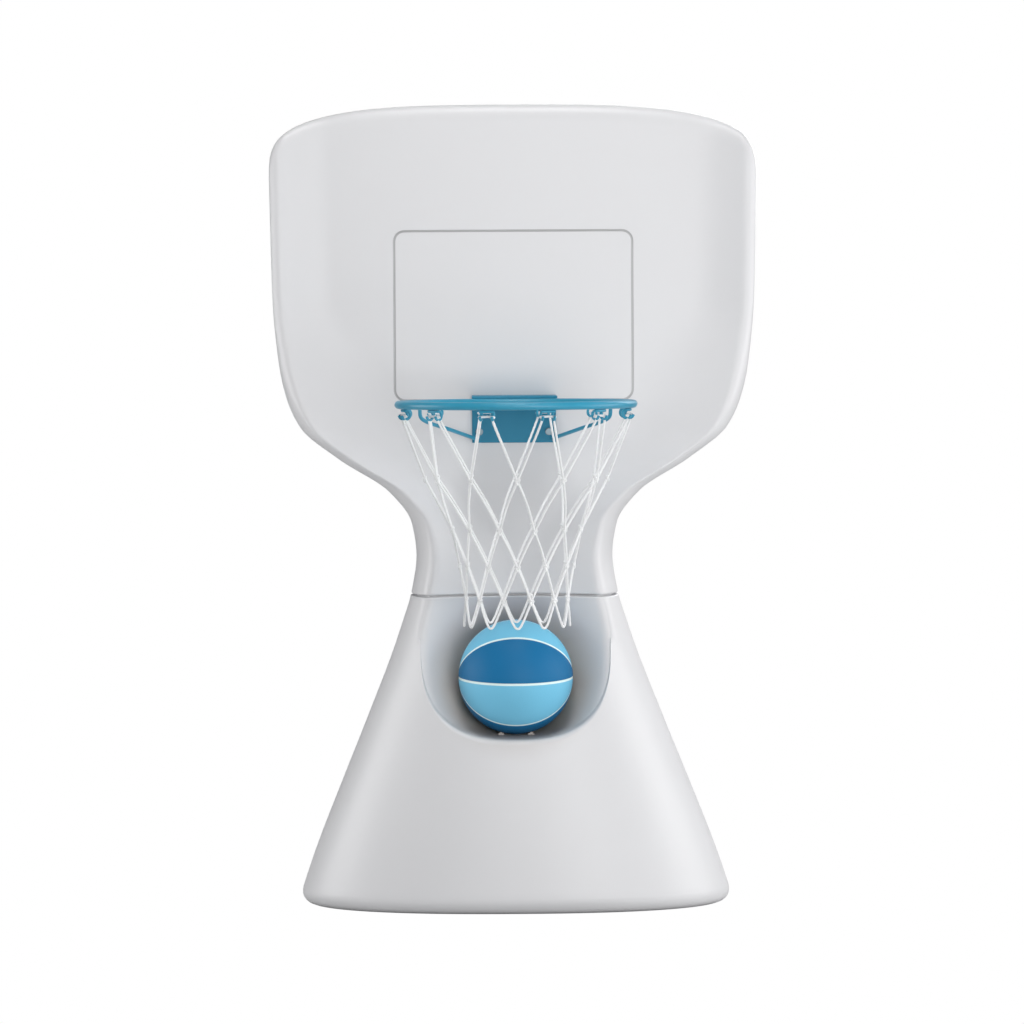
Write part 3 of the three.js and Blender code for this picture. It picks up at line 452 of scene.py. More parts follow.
# %% Base back and loops
SPIGOT_HALF, SPIGOT_PLACE, SPIGOT_DEEP, SPIGOT_END = 0.170, 0.113, 0.059, 0.593
SOCKET_CLEARANCE, SOCKET_FLOOR = 0.0005, 0.5925


def base_back(x, height):
    """Depth of the back: a superellipse from the widest line."""
    middle = middle_depth(height)
    return middle + (back_depth(height) - middle) * arc(x / half_width(height), back_power(height))


def base_loops(heights):
    """Loops in plan at the given heights."""
    h = heights[:, None]
    below = mix(POCKET_HALF, LEAST_RIDGE, (h / POCKET_FLOOR) ** RIDGE_POWER)
    ridge = np.where(h < POCKET_FLOOR, below, np.maximum(mouth(h), LEAST_RIDGE))
    front_x, back_x = columns(h, ridge)
    x = np.hstack([front_x, back_x])
    y = np.hstack([base_front(front_x, h), base_back(back_x, h)])
    return full_loop(np.stack([x, y + BOARD_FACE, 0 * x + h], -1))


def post(grow, height, count):
    """Spigot outline: a superellipse of power 4 with as many points as a loop."""
    turn = np.linspace(0, 2 * np.pi, count, endpoint=False) - np.pi / 2
    across, deep = (np.sign(v) * np.sqrt(np.abs(v)) for v in (np.cos(turn), np.sin(turn)))
    x = (SPIGOT_HALF + grow) * across
    y = BOARD_FACE + SPIGOT_PLACE + (SPIGOT_DEEP + grow) * deep
    return np.stack([x, y, 0 * x + height], -1)[None]


def drawn_in(loop):
    """A loop shrunk to almost nothing round its middle, which closes the end of a surface."""
    return mix(loop, loop.mean(1, keepdims=True), ALMOST)


# %% Base rows
FOOT, SEAM_ROUND, SEAM_SUNK, GROOVE = 0.034, 0.002, 0.013, 0.0026
UNDER_INSETS, UNDER_RISE = (0.070, 0.0702), 0.006
FLANK_LEVELS = (0.335, 26), (0.354, 14), (0.378, 62), (0.400, 14)    # close at the pocket's lip
WELD, CREASE = 2e-5, 50                      # a distance, and degrees
turn = np.linspace(0, np.pi / 2, 8)
foot_rows = inset(base_loops(FOOT * (1 - np.cos(turn))), FOOT * (1 - np.sin(turn)))
flank_rows = base_loops(levels(FOOT, *FLANK_LEVELS, (SEAM - GROOVE - SEAM_ROUND, 64)))
turn = np.linspace(0, np.pi / 2, 4)[1:]
seam_heights = np.r_[SEAM - GROOVE - SEAM_ROUND * (1 - np.sin(turn)), SEAM - GROOVE, SEAM]
seam_rows = inset(base_loops(seam_heights),
                  np.r_[SEAM_ROUND * (1 - np.cos(turn)), SEAM_SUNK, SEAM_SUNK])
count = flank_rows.shape[1]
ground = inset(base_loops(np.zeros(2)), np.array(UNDER_INSETS))
ground[1, :, 2] = UNDER_RISE
centre = ground[1].mean(0)
under = [mix(ground[1:], centre, share) for share in (ALMOST, 0.5)]
socket = [post(SOCKET_CLEARANCE, height, count) for height in (SEAM, SOCKET_FLOOR)]
base_points = np.concatenate([*under, ground[::-1], foot_rows, flank_rows, seam_rows, *socket,
                              drawn_in(socket[1])])
base_mesh = new_mesh("base", base_points, grid_faces(len(base_points), count), merge=WELD)

# %% [markdown]
# Wells and holes are cut with booleans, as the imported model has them. A well for a filling or
# draining cap is sunk in the sloping back, and two smaller ones take the bolts of the neck.
# %% Cutting tools


def rod(radius, start, end, x, z, sides=64):
    """Closed cylinder along y between two depths from the board's face."""
    turn = np.linspace(0, 2 * np.pi, sides, endpoint=False)
    ring = np.stack([x + radius * np.cos(turn), 0 * turn, z + radius * np.sin(turn)], -1)
    points = np.concatenate([ring + [0, BOARD_FACE + start, 0], ring + [0, BOARD_FACE + end, 0]])
    mesh = bpy.data.meshes.new("rod")
    caps = [list(range(sides)), list(range(2 * sides - 1, sides - 1, -1))]
    mesh.from_pydata(points.tolist(), [], caps + grid_faces(2, sides).tolist())
    return cleaned(mesh)


def cut(mesh, tools):
    """The mesh less each tool, by an exact boolean, as a new mesh."""
    body = new_object("whole", mesh)
    helpers = [new_object("tool", tool) for tool in tools]
    for helper in helpers:
        step = body.modifiers.new("cut", "BOOLEAN")
        step.operation, step.solver, step.object = "DIFFERENCE", "EXACT", helper
    bpy.context.view_layer.update()
    graph = bpy.context.evaluated_depsgraph_get()
    result = bpy.data.meshes.new_from_object(body.evaluated_get(graph))
    for helper in [body, *helpers]:
        bpy.data.objects.remove(helper)
    return result


# %% Wells of the base
FILL_HEIGHT, FILL_WELL, FILL_NECK = 0.500, 0.044, 0.024      # a height, then radii
DRAIN_HEIGHT, DRAIN_WELL, DRAIN_NECK = 0.062, 0.031, 0.014
BOLT_HEIGHT, BOLT_PLACE, BOLT_WELL = 0.623, 0.090, 0.009
NECK_DEEP, PAST_BASE, PAST_NECK = 0.05, 0.5, 0.3
fill_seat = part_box("fill_gasket")[0].y - BOARD_FACE - GAP
drain_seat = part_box("drain_gasket")[0].y - BOARD_FACE - GAP
neck_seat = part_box("neck_washer_1")[0].y - BOARD_FACE
wells = [rod(FILL_WELL, fill_seat, PAST_BASE, 0, FILL_HEIGHT),
         rod(FILL_NECK, fill_seat - NECK_DEEP, PAST_BASE, 0, FILL_HEIGHT),
         rod(DRAIN_WELL, drain_seat, PAST_BASE, 0, DRAIN_HEIGHT),
         rod(DRAIN_NECK, drain_seat - NECK_DEEP, PAST_BASE, 0, DRAIN_HEIGHT)]
wells += [rod(BOLT_WELL, neck_seat, PAST_NECK, side * BOLT_PLACE, BOLT_HEIGHT, 32)
          for side in (-1, 1)]
piece("base", cut(base_mesh, wells), "stand", moulding, "moulding", "base_shell", sharp=CREASE)

# %% [markdown]
# The backboard's face is flat in the middle and its wings bend forward. Above the sides its
# levels arch up into the crowned top, and the last of them close the rounded edge. The target
# square is a shallow line sunk in the face.
# %% Backboard
BEND, CROWN, CROWN_POWER, TOP_ROUND = 1.400, 0.153, 3.3, 0.018
NECK_FILLET, FACE_FILLET, FILLET_SPAN = 0.030, 0.012, 0.35


def wing(x, height):
    """How far the face lies from its plane: none in the flat part, then a parabola that reaches
    the ridge's depth at the ridge."""
    ridge, flat = half_width(height) - ridge_inset(height), flat_share(height)
    return ridge_depth(height) * (np.maximum(0, x / ridge - flat) / (1 - flat)) ** 2


def board_front(x, height):
    """The flank's superellipse or the hollowed face, whichever is deeper, joined softly."""
    width, middle = half_width(height), middle_depth(height)
    ridge = width - ridge_inset(height)
    reach = (middle - ridge_depth(height)) / arc(ridge / width, FRONT_POWER)
    outer = middle - reach * arc(x / width, FRONT_POWER)
    soft = mix(NECK_FILLET, FACE_FILLET, np.clip((height - SEAM) / FILLET_SPAN, 0, 1))
    return soft_max(outer, wing(x, height), soft)


def board_back(x, height):
    """A superellipse that follows the bend of the wings as far as the ridges."""
    middle, width = middle_depth(height), half_width(height)
    bent = wing(np.minimum(x, width - ridge_inset(height)), height)
    reach = back_depth(height) - middle + wing_share(height) * bent
    return middle + reach * arc(x / width, back_power(height))


def board_loops(heights, squeeze):
    """Loops whose rows above the bend arch up in the middle. Squeeze draws face and back
    together, by that share of the thickness on each side."""
    h = heights[:, None]
    front_x, back_x = columns(h, half_width(h) - ridge_inset(h))
    x = np.hstack([front_x, back_x])
    front, back = board_front(x, h), board_back(x, h)
    near = np.arange(x.shape[1])[None, :] < front_x.shape[1]
    share = np.asarray(squeeze)[:, None]
    y = np.where(near, mix(front, back, share), mix(back, front, share))
    bend = np.maximum(0, (h - BEND) / (SIDE_TOP - BEND))
    z = h + bend * CROWN * arc(x / half_width(h), CROWN_POWER)
    return full_loop(np.stack([x, y + BOARD_FACE, z], -1))


# %% Backboard rows
turn = np.linspace(0, np.pi / 2, 4)[:-1]
low = np.r_[SEAM, SEAM + GROOVE, SEAM + GROOVE + SEAM_ROUND * (1 - np.cos(turn))]
foot_rows = inset(board_loops(low, 0 * low),
                  np.r_[SEAM_SUNK, SEAM_SUNK, SEAM_ROUND * (1 - np.sin(turn))])
lowest = SEAM + GROOVE + SEAM_ROUND
heights = np.r_[lowest, levels(lowest, (NECK, 16), (1.09, 72), (BEND, 26),
                               (SIDE_TOP - TOP_ROUND, 24))]
turn = np.linspace(0, np.pi / 2, 10)[1:]
top = SIDE_TOP - TOP_ROUND * (1 - np.sin(turn))
squeeze = TOP_ROUND / BACK_BOARD * (1 - np.cos(turn))
last = np.array([0.36, 0.42, 0.47, 0.5])
board_rows = board_loops(np.concatenate([heights, top, 0 * last + SIDE_TOP]),
                         np.concatenate([0 * heights, squeeze, last]))
spigot = [post(0, SPIGOT_END, count), post(0, SEAM, count)]
board_points = np.concatenate([drawn_in(spigot[0]), *spigot, foot_rows, board_rows])
board_mesh = new_mesh("board", board_points, grid_faces(len(board_points), count), merge=WELD)

# %% Target square
SQUARE_HALF, SQUARE_LOW, SQUARE_HIGH, SQUARE_CORNER = 0.252, 1.059, 1.419, 0.025
LINE, SUNK = 0.0050, 0.0032
CORNER_STEPS, AROUND, FLUSH = 10, 0.008, 0.0005


def rounded_square(inside, depth):
    """The target's outline with round corners, moved inside by a width, at a depth from the
    board's face."""
    turn = np.concatenate([np.linspace(0, np.pi / 2, CORNER_STEPS) + quarter * np.pi / 2
                           for quarter in range(4)])
    side = np.repeat([1, -1, -1, 1], CORNER_STEPS)
    up = np.repeat([1, 1, -1, -1], CORNER_STEPS)
    half, low, high = SQUARE_HALF - inside, SQUARE_LOW + inside, SQUARE_HIGH - inside
    corner = SQUARE_CORNER - inside
    x = side * (half - corner) + corner * np.cos(turn)
    z = np.where(up > 0, high - corner, low + corner) + corner * np.sin(turn)
    return np.stack([x, 0 * x + BOARD_FACE + depth, z], -1)


outline = [rounded_square(inside, depth)
           for inside, depth in ((0, -SUNK), (0, SUNK), (LINE, SUNK), (LINE, -SUNK))]
square = new_mesh("square", np.stack(outline),
                  grid_faces(4, 4 * CORNER_STEPS, closed_rows=True), merge=1e-6)
board_mesh = cut(board_mesh, [square])
points = np.empty(3 * len(board_mesh.vertices))
board_mesh.vertices.foreach_get("co", points)
x, y, z = points.reshape(-1, 3).T
# Points on the floor of the sunk line, which carry its painted shade.
sunk = ((np.abs(x) < SQUARE_HALF + AROUND) & (z > SQUARE_LOW - AROUND)
        & (z < SQUARE_HIGH + AROUND) & (np.abs(y - BOARD_FACE - SUNK) < FLUSH))
point_values(board_mesh, "sunk_line_shade", sunk)
piece("backboard", board_mesh, "stand", moulding, "moulding", "backboard_shell", sharp=CREASE)
print("points on the sunk line", int(sunk.sum()))

# %% [markdown]
# Rods are a round section carried along a path. The section is turned with the path so that it
# never twists: each ring's axes come from the path's direction and one reference direction.
# %% Sweeps


def resample(points, spacing):
    """Points evenly spaced along a smooth curve through the given ones (Catmull-Rom)."""
    p = np.vstack([2 * points[0] - points[1], points, 2 * points[-1] - points[-2]])
    t = np.linspace(0, 1, 24, endpoint=False)[:, None]
    a, b, c, d = p[:-3, None], p[1:-2, None], p[2:-1, None], p[3:, None]
    fine = 0.5 * (2 * b + (c - a) * t + (2 * a - 5 * b + 4 * c - d) * t ** 2
                  + (3 * b - a - 3 * c + d) * t ** 3)
    fine = np.vstack([fine.reshape(-1, 3), points[-1:]])
    length = np.r_[0, np.cumsum(np.linalg.norm(np.diff(fine, axis=0), axis=1))]
    wanted = np.linspace(0, length[-1], max(3, int(round(length[-1] / spacing)) + 1))
    return np.stack([np.interp(wanted, length, fine[:, k]) for k in range(3)], -1)


def sweep(points, radius, sides, reference, closed=False):
    """Rings round a path: centre + radius * (cos * u + sin * v). Open ends taper to a point.
    radius may be a function of (turn, distance)."""
    along = np.gradient(points, axis=0)
    if closed:
        along = np.roll(points, -1, 0) - np.roll(points, 1, 0)
    along /= np.linalg.norm(along, axis=1, keepdims=True)
    u = reference - (reference * along).sum(1, keepdims=True) * along
    u /= np.linalg.norm(u, axis=1, keepdims=True)
    v = np.cross(along, u)
    turn = np.linspace(0, 2 * np.pi, sides, endpoint=False)[None, :]
    distance = np.r_[0, np.cumsum(np.linalg.norm(np.diff(points, axis=0), axis=1))][:, None]
    r = radius(turn, distance) if callable(radius) else radius + 0 * turn + 0 * distance
    rings = (points[:, None] + (r * np.cos(turn))[..., None] * u[:, None]
             + (r * np.sin(turn))[..., None] * v[:, None])
    if not closed:
        rings = np.concatenate([np.repeat(points[:1, None], sides, 1), rings,
                                np.repeat(points[-1:, None], sides, 1)])
    return rings


def joined_sweeps(name, sweeps, closed=False, merge=1e-6):
    """One mesh from several sweeps."""
    faces, points, total = [], [], 0
    for rings in sweeps:
        rows, sides = rings.shape[:2]
        faces.append(grid_faces(rows, sides, closed) + total)
        points.append(rings.reshape(-1, 3))
        total += rows * sides
    return new_mesh(name, np.vstack(points), np.vstack(faces), merge)


def about_z(angle):
    """Matrix that turns rows of points clockwise about z, seen from above."""
    c, s = math.cos(angle), math.sin(angle)
    return np.array([[c, s, 0], [-s, c, 0], [0, 0, 1]])


# %% [markdown]
# The ring is bent from round bar, and its two braces run from the bracket's lower corners to its
# underside. All of them are painted.
# %% Ring and braces
RING_LOW, RING_HIGH = (np.array(c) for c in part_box("rim_ring"))
ROD = RING_HIGH[2] - RING_LOW[2]
RIM_HEIGHT = (RING_HIGH[2] + RING_LOW[2]) / 2
RIM_RADIUS = (RING_HIGH[0] - RING_LOW[0] - ROD) / 2
RIM_Y = RING_LOW[1] + ROD / 2 + RIM_RADIUS
RING_STEPS, RING_SIDES, BRACE_SIDES, BRACE_CREASE = 192, 28, 20, 60
BRACE_ROD, BRACE_TURN, BRACE_SPACING = 0.008, 0.31 * np.pi, 0.003
BRACE_START = np.array([0.080, BOARD_FACE - 0.0103, 0.9806])
BRACE_SUNK = 0.225 * BRACE_ROD
BRACE_BEND, BRACE_DIP = 0.07, 0.024
UPWARDS, SIDEWAYS = np.array([[0, 0, 1.0]]), np.array([[1.0, 0, 0]])
turn = np.linspace(0, 2 * np.pi, RING_STEPS, endpoint=False)
path = np.stack([RIM_RADIUS * np.cos(turn), RIM_Y + RIM_RADIUS * np.sin(turn),
                 0 * turn + RIM_HEIGHT], -1)
ring_mesh = joined_sweeps("ring", [sweep(path, ROD / 2, RING_SIDES, UPWARDS, closed=True)],
                          closed=True, merge=None)
piece("ring", ring_mesh, "stand", rim_paint, "paint", "rim_ring")
end = np.array([RIM_RADIUS * math.sin(BRACE_TURN), RIM_Y + RIM_RADIUS * math.cos(BRACE_TURN),
                RIM_HEIGHT - ROD / 2 - GAP - BRACE_SUNK])
bend = mix(end, BRACE_START, BRACE_BEND)
bend[2] = end[2] - BRACE_DIP
for side, name in ((-1, "brace_left"), (1, "brace_right")):
    corners = np.array([BRACE_START, mix(BRACE_START, bend, 0.5), bend, end]) * [side, 1, 1]
    path = resample(corners, BRACE_SPACING)
    rod_mesh = joined_sweeps(name, [sweep(path, BRACE_ROD / 2, BRACE_SIDES, SIDEWAYS)])
    piece(name, rod_mesh, "stand", rim_paint, "paint", name, sharp=BRACE_CREASE)

# %% [markdown]
# Each hook is one rod bent into two curled horns with a bar between them, welded under the ring.
# %% Hooks
HOOK_ROD, CURL, SPAN, HOOK_SPACING = 0.0056, 0.0086, 0.024, 0.0022
CURL_DROP = ROD / 2 + HOOK_ROD / 2 + CURL + 0.0005
LEAN, TIP = math.radians(75), math.radians(-10)
HOOK_REFERENCE, HOOK_SIDES, CURL_STEPS = np.array([[0.3, 0.3, 1.0]]), 14, 16
turn = np.linspace(TIP, LEAN - 2 * np.pi, CURL_STEPS)
curl = np.stack([0 * turn - SPAN / 2,
                 RIM_RADIUS - CURL_DROP * math.cos(LEAN) + CURL * np.cos(turn),
                 -CURL_DROP * math.sin(LEAN) + CURL * np.sin(turn)], -1)
hook_path = resample(np.vstack([curl, curl[::-1] * [-1, 1, 1]]), HOOK_SPACING)
hook_rings = sweep(hook_path, HOOK_ROD / 2, HOOK_SIDES, HOOK_REFERENCE)
for number in range(12):
    turned = about_z(math.pi + (number + 0.5) / 12 * 2 * math.pi)
    placed = hook_rings @ turned + [0, RIM_Y, RIM_HEIGHT]
    name = f"hook_{number + 1:02d}"
    mesh = joined_sweeps(name, [placed])
    piece(name, mesh, "stand", rim_paint, "paint", f"net_{name}")

# %% [markdown]
# The net is knotted from one braided cord. Legs run from knot to knot in diamonds that get
# smaller on the way down, and the last row hangs in loops. The cord's surface has the slow twist
# of its strands, and each crossing is drawn into a small knot.
# %% Net
CORD, TWIST, CORD_SPACING = 0.0025, 0.012, 0.0024
LOBES, LOBE_HEIGHT, CORD_SIDES, KNOT_SIDES, KNOT_STEPS = 3, 0.07, 10, 7, 30
ASKEW = np.array([[0.31, 0.17, 0.93]])       # a reference that no length of cord runs along
NET_LENGTH = 0.424
NET_ROWS = [(0.3, 0.777), (0.54, 0.566), (0.713, 0.486), (0.875, 0.446), (1, 0.45)]
TOP_RADIUS = RIM_RADIUS - CURL_DROP * math.cos(LEAN)
TOP_DROP = CURL_DROP * math.sin(LEAN) + CURL - HOOK_ROD / 2 - CORD - GAP
LOOP_DIP, LOOP_EASE = 0.012, 0.004
LOOP_FROM, LOOP_TO, TIP_FROM, TIP_TO = 0.42, 0.58, 0.82, 1.18        # in steps of 30 degrees
LOOP_HALF = (SPAN / 2 + HOOK_ROD / 2 + 2 * CORD) * 0.75
SLACK, SHOULDER = -0.001, 0.78
KNOT_SIZE, KNOT_TALL, KNOT_DEEP, KNOT_CORD = 0.00165, 1.25, -1.1, CORD * 0.85
rows = [(TOP_DROP + drop * NET_LENGTH, share * RIM_RADIUS) for drop, share in NET_ROWS]


def net_point(step, row, along=0.0, out=0.0):
    """A place on the net: steps of 30 degrees from the front, and a row's drop and radius."""
    drop, radius = row
    a = step * np.pi / 6
    r = radius + out
    return np.array([r * math.sin(a) + along * math.cos(a),
                     RIM_Y - r * math.cos(a) + along * math.sin(a), RIM_HEIGHT - drop])


def strand(turn, distance):
    """Cord radius with the lobes of three twisted strands."""
    lobes = np.cos(LOBES * turn - distance * 2 * np.pi / TWIST)
    return CORD * (1 - LOBE_HEIGHT + LOBE_HEIGHT * lobes)


def leg(*points):
    """A length of cord through the given points."""
    return sweep(resample(np.array(points), CORD_SPACING), strand, CORD_SIDES, ASKEW)


def knot(place):
    """A small closed trefoil of cord, drawn tight round a crossing."""
    t = np.linspace(0, 2 * np.pi, KNOT_STEPS, endpoint=False)
    x, z = np.sin(t) + 2 * np.sin(2 * t), np.cos(t) - 2 * np.cos(2 * t)
    y = KNOT_DEEP * np.sin(3 * t)
    local = np.stack([x * KNOT_SIZE, y * KNOT_SIZE, z * KNOT_SIZE * KNOT_TALL], -1)
    outwards = place - [0, RIM_Y, 0]
    turned = about_z(math.atan2(outwards[0], -outwards[1]))
    return sweep(local @ turned + place, KNOT_CORD, KNOT_SIDES, ASKEW, closed=True)


legs, knots = [], []
hung, dipped = (TOP_DROP, TOP_RADIUS), (TOP_DROP + LOOP_DIP, TOP_RADIUS)
above, tip = rows[-2:]
shoulder = (mix(above[0], tip[0], SHOULDER), tip[1])
for i in range(12):
    legs.append(leg(net_point(i, rows[0]), net_point(i + LOOP_FROM, dipped, -LOOP_EASE),
                    net_point(i + 0.5, hung, -LOOP_HALF), net_point(i + 0.5, hung, LOOP_HALF),
                    net_point(i + LOOP_TO, dipped, LOOP_EASE), net_point(i + 1, rows[0])))
    for row in range(3):
        upper, lower = rows[row], rows[row + 1]
        halfway = tuple((a + b) / 2 for a, b in zip(upper, lower))
        step = i + (row % 2) / 2
        for way in (-0.5, 0.5):
            legs.append(leg(net_point(step, upper), net_point(step + way / 2, halfway, out=SLACK),
                            net_point(step + way, lower)))
    legs.append(leg(net_point(i + 0.5, above), net_point(i + TIP_FROM, shoulder),
                    net_point(i + 1, tip), net_point(i + TIP_TO, shoulder),
                    net_point(i + 1.5, above)))
    knots += [knot(net_point(i + (row % 2) / 2, rows[row])) for row in range(4)]
net_mesh = joined_sweeps("net", legs)
work = bmesh.new()
work.from_mesh(net_mesh)
work.from_mesh(joined_sweeps("knots", knots, closed=True, merge=None))
work.to_mesh(net_mesh)
work.free()
piece("cord_net", net_mesh, "stand", net_cord, "cord", "net")

# %% [markdown]
# The ball is rubber with a pebbled skin in two blues and pale inlaid seams. Two seams are great
# circles. The two others are waves whose height is a level plus a rise times the hypotenuse of the
# distance from the middle plane and a small turn, so they run high in front and low at the sides.
# A seam's distance is that height's error over its slope along the skin. Seams are sunk in the
# mesh, and pebbles are bump.
# %% Ball
BALL_RADIUS = (ball_high[2] - ball_low[2]) / 2
BALL_ROWS, BALL_COLUMNS = 161, 320
TILT = math.radians(3.9)
WAVE_LEVEL, WAVE_RISE, WAVE_TURN, LEAST_SLOPE = 0.036, 1.116, 0.12, 0.05
SEAM_HALF, SEAM_DEEP, SKIN_INSIDE = 0.0024, 0.0009, 0.0001
lat = np.linspace(-np.pi / 2, np.pi / 2, BALL_ROWS)[:, None]
lon = np.linspace(0, 2 * np.pi, BALL_COLUMNS, endpoint=False)[None, :]
local = np.stack([np.cos(lat) * np.sin(lon), -np.cos(lat) * np.cos(lon), np.sin(lat) + 0 * lon], -1)
side, up = local[..., 1], local[..., 2]
bend = np.hypot(side, WAVE_TURN)
above = np.abs(up) - WAVE_LEVEL - WAVE_RISE * bend
slope_side, slope_up = -WAVE_RISE * side / bend, np.sign(up)
outwards = slope_side * side + slope_up * up
wave_slope = np.sqrt(np.maximum(slope_side ** 2 + 1 - outwards ** 2, LEAST_SLOPE))
to_equator, to_middle = np.abs(lat + 0 * lon), np.abs(np.arcsin(np.clip(side, -1, 1)))
to_wave = np.abs(above) / wave_slope
seam_gap = np.minimum.reduce([to_equator, to_middle, to_wave]) * BALL_RADIUS
dark = np.where(above > 0, lat < 0, lat > 0).astype(float)
dark = np.where(side > 0, 1 - dark, dark)
groove = SEAM_DEEP * np.exp(-(seam_gap / SEAM_HALF) ** 2)
radius = BALL_RADIUS - groove - SKIN_INSIDE
c, s = math.cos(TILT), math.sin(TILT)
tilt = np.array([[1, 0, 0], [0, c, -s], [0, s, c]])
ball_points = (local * radius[..., None]) @ tilt.T + ball_centre
ball_mesh = new_mesh("ball", ball_points, grid_faces(BALL_ROWS, BALL_COLUMNS))
point_values(ball_mesh, "seam_gap", seam_gap)
point_values(ball_mesh, "dark_panel", dark)
cleaned(ball_mesh, merge=WELD)

# %% Ball skin
LIGHT_BLUE, DARK_BLUE, PALE = (0.19, 0.58, 0.82, 1), (0.004, 0.16, 0.37, 1), (0.80, 0.95, 0.95, 1)
PEBBLE_SIZE, PEBBLE_STRENGTH, PEBBLE_HEIGHT = 520, 0.35, 0.0005
ball_skin = finish("ball_skin", (0.2, 0.4, 0.6), 0.55, rough_spread=0.06, mottle_size=20.0,
                   Specular_IOR_Level=0.3)
is_dark = add_node(ball_skin, "Math", {0: attribute(ball_skin, "dark_panel"), 1: 0.5},
                   operation="GREATER_THAN").outputs["Value"]
off_seam = add_node(ball_skin, "MapRange", {"Value": attribute(ball_skin, "seam_gap"),
                                            "From Min": SEAM_HALF * 0.85,
                                            "From Max": SEAM_HALF * 1.15}).outputs["Result"]
blues = colour_mix(ball_skin, is_dark, LIGHT_BLUE, DARK_BLUE)
feed(ball_skin, surface(ball_skin)["Base Color"], colour_mix(ball_skin, off_seam, PALE, blues))
pebbles = add_node(ball_skin, "TexVoronoi", {"Scale": PEBBLE_SIZE,
                                             "Vector": object_place(ball_skin)})
raised = add_node(ball_skin, "Math", {0: pebbles.outputs["Distance"], 1: off_seam},
                  operation="MULTIPLY").outputs["Value"]
bump = add_node(ball_skin, "Bump", {"Strength": PEBBLE_STRENGTH, "Distance": PEBBLE_HEIGHT,
                                    "Height": raised}, invert=True)
feed(ball_skin, surface(ball_skin)["Normal"], bump.outputs["Normal"])
piece("spare_ball", ball_mesh, "ball", ball_skin, "ball_skin", "ball")

# %% [markdown]
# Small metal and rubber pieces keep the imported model's shapes. A copy of each has its doubles
# merged and its edges broken by a narrow bevel, which is what catches light on real hardware.
# The brass inserts lie inside the mouldings, so they only get their finish.
# %% Small pieces
MERGE, ONE_PLANE, HARD, SHARP = 1e-5, math.radians(1), math.radians(40), 35
PLATE_EDGE, CAP_EDGE, BOLT_EDGE, WASHER_EDGE = 0.0012, 0.0008, 0.0004, 0.0002


def dressed(node, body, material, slot, bevel, segments=2):
    """A copy of a node with broken edges: merged, its flat faces joined, then bevelled. Faces
    wider than twice the bevel stay flat."""
    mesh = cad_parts[node].data.copy()
    work = bmesh.new()
    work.from_mesh(mesh)
    bmesh.ops.remove_doubles(work, verts=work.verts, dist=MERGE)
    bmesh.ops.dissolve_limit(work, angle_limit=ONE_PLANE, verts=work.verts, edges=work.edges)
    hard = [e for e in work.edges if len(e.link_faces) == 2 and e.calc_face_angle(0) > HARD]
    bmesh.ops.bevel(work, geom=hard, offset=bevel, segments=segments, affect="EDGES", profile=0.5,
                    clamp_overlap=True)
    work.to_mesh(mesh)
    work.free()
    piece(f"{node}_fine", mesh, body, material, slot, node, sharp=SHARP)
    for face in mesh.polygons:
        longest = max((mesh.vertices[a].co - mesh.vertices[b].co).length for a, b in face.edge_keys)
        face.use_smooth = face.area < 2 * bevel * longest


dressed("rim_bracket", "stand", plate_paint, "paint", PLATE_EDGE, segments=3)
for place_name, count in (("rim", 4), ("neck", 2)):
    for number in range(1, count + 1):
        dressed(f"{place_name}_bolt_{number}", "stand", plated_steel, "steel", BOLT_EDGE)
        dressed(f"{place_name}_washer_{number}", "stand", washer_steel, "steel", WASHER_EDGE)
        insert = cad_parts[f"{place_name}_insert_{number}"]
        insert.data.materials.clear()
        insert.data.materials.append(turned_brass)
for name in ("fill", "drain"):
    dressed(f"{name}_cap", f"{name}_cap", cap_plastic, "cap_plastic", CAP_EDGE)
    dressed(f"{name}_gasket", f"{name}_gasket", gasket_rubber, "gasket", BOLT_EDGE)

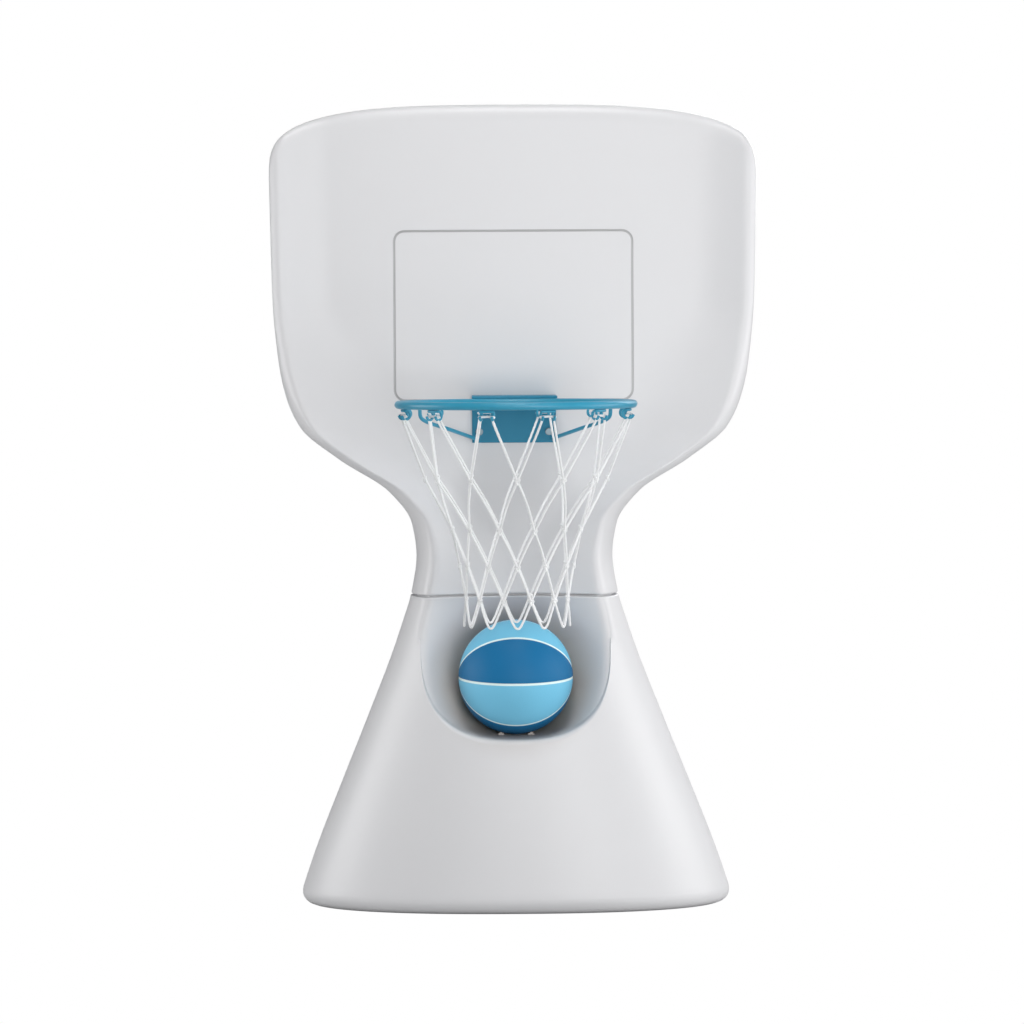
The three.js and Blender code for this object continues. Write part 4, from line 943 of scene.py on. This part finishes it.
# %% [markdown]
# A white studio: a floor that shows as plain white, soft lights high and level in front, a low one
# in front on the right, one on each side, one behind on the right, one above the back, and a weak
# even sky. The high one gives the board's rounded top edge its bright line.
# %% Studio
FLOOR_HALF, FLOOR_GREY, SKY = 30, (0.45, 0.45, 0.45, 1), 0.13
WHITE = (1, 1, 1, 1)
LIGHT_TARGET = np.array([0, 0, 0.9])
LIGHTS = (("high", (0.0, -1.5, 4.0), 1.2, 45), ("front", (0.2, -3.32, 1.6), 1.8, 24),
          ("low", (1.1, -3.0, 0.5), 1.4, 34), ("left", (-2.95, 0.0, 0.85), 2.0, 40),
          ("right", (2.94, -0.26, 1.05), 2.0, 40), ("back", (1.3, 2.25, 2.4), 2.0, 68),
          ("above", (0.0, 0.78, 3.8), 2.0, 8))          # name, place, size, watts


def white_to_camera(owner, output, lit, seen):
    """Shows the camera the seen shader, and every other ray the lit one."""
    ray = add_node(owner, "LightPath", {}).outputs["Is Camera Ray"]
    both = add_node(owner, "MixShader", {0: ray, 1: lit.outputs[0], 2: seen.outputs[0]})
    add_node(owner, output, {0: both.outputs[0]})


corners = np.array([[-1, -1, 0], [1, -1, 0], [1, 1, 0], [-1, 1, 0]]) * FLOOR_HALF
floor_mesh = new_mesh("floor", corners, np.array([[0, 1, 2, 3]]))
floor = new_object("floor", floor_mesh)
floor_finish = bpy.data.materials.new("studio_floor")
floor_finish.use_nodes = True
floor_finish.node_tree.nodes.clear()
white_to_camera(floor_finish, "OutputMaterial",
                add_node(floor_finish, "BsdfDiffuse", {"Color": FLOOR_GREY}),
                add_node(floor_finish, "Emission", {}))
floor_mesh.materials.append(floor_finish)

world = bpy.data.worlds.new("sky")
bpy.context.scene.world = world
world.use_nodes = True
world.node_tree.nodes.clear()
white_to_camera(world, "OutputWorld",
                add_node(world, "Background", {"Color": WHITE, "Strength": SKY}),
                add_node(world, "Background", {"Color": WHITE, "Strength": 1.0}))

for name, place, size, watts in LIGHTS:
    data = bpy.data.lights.new(name, "AREA")
    data.size, data.energy = size, watts
    light = new_object(name, data)
    light.location = place
    across, away, up = LIGHT_TARGET - place
    light.rotation_euler = (math.atan2(math.hypot(across, away), -up), 0,
                            math.atan2(-across, away))
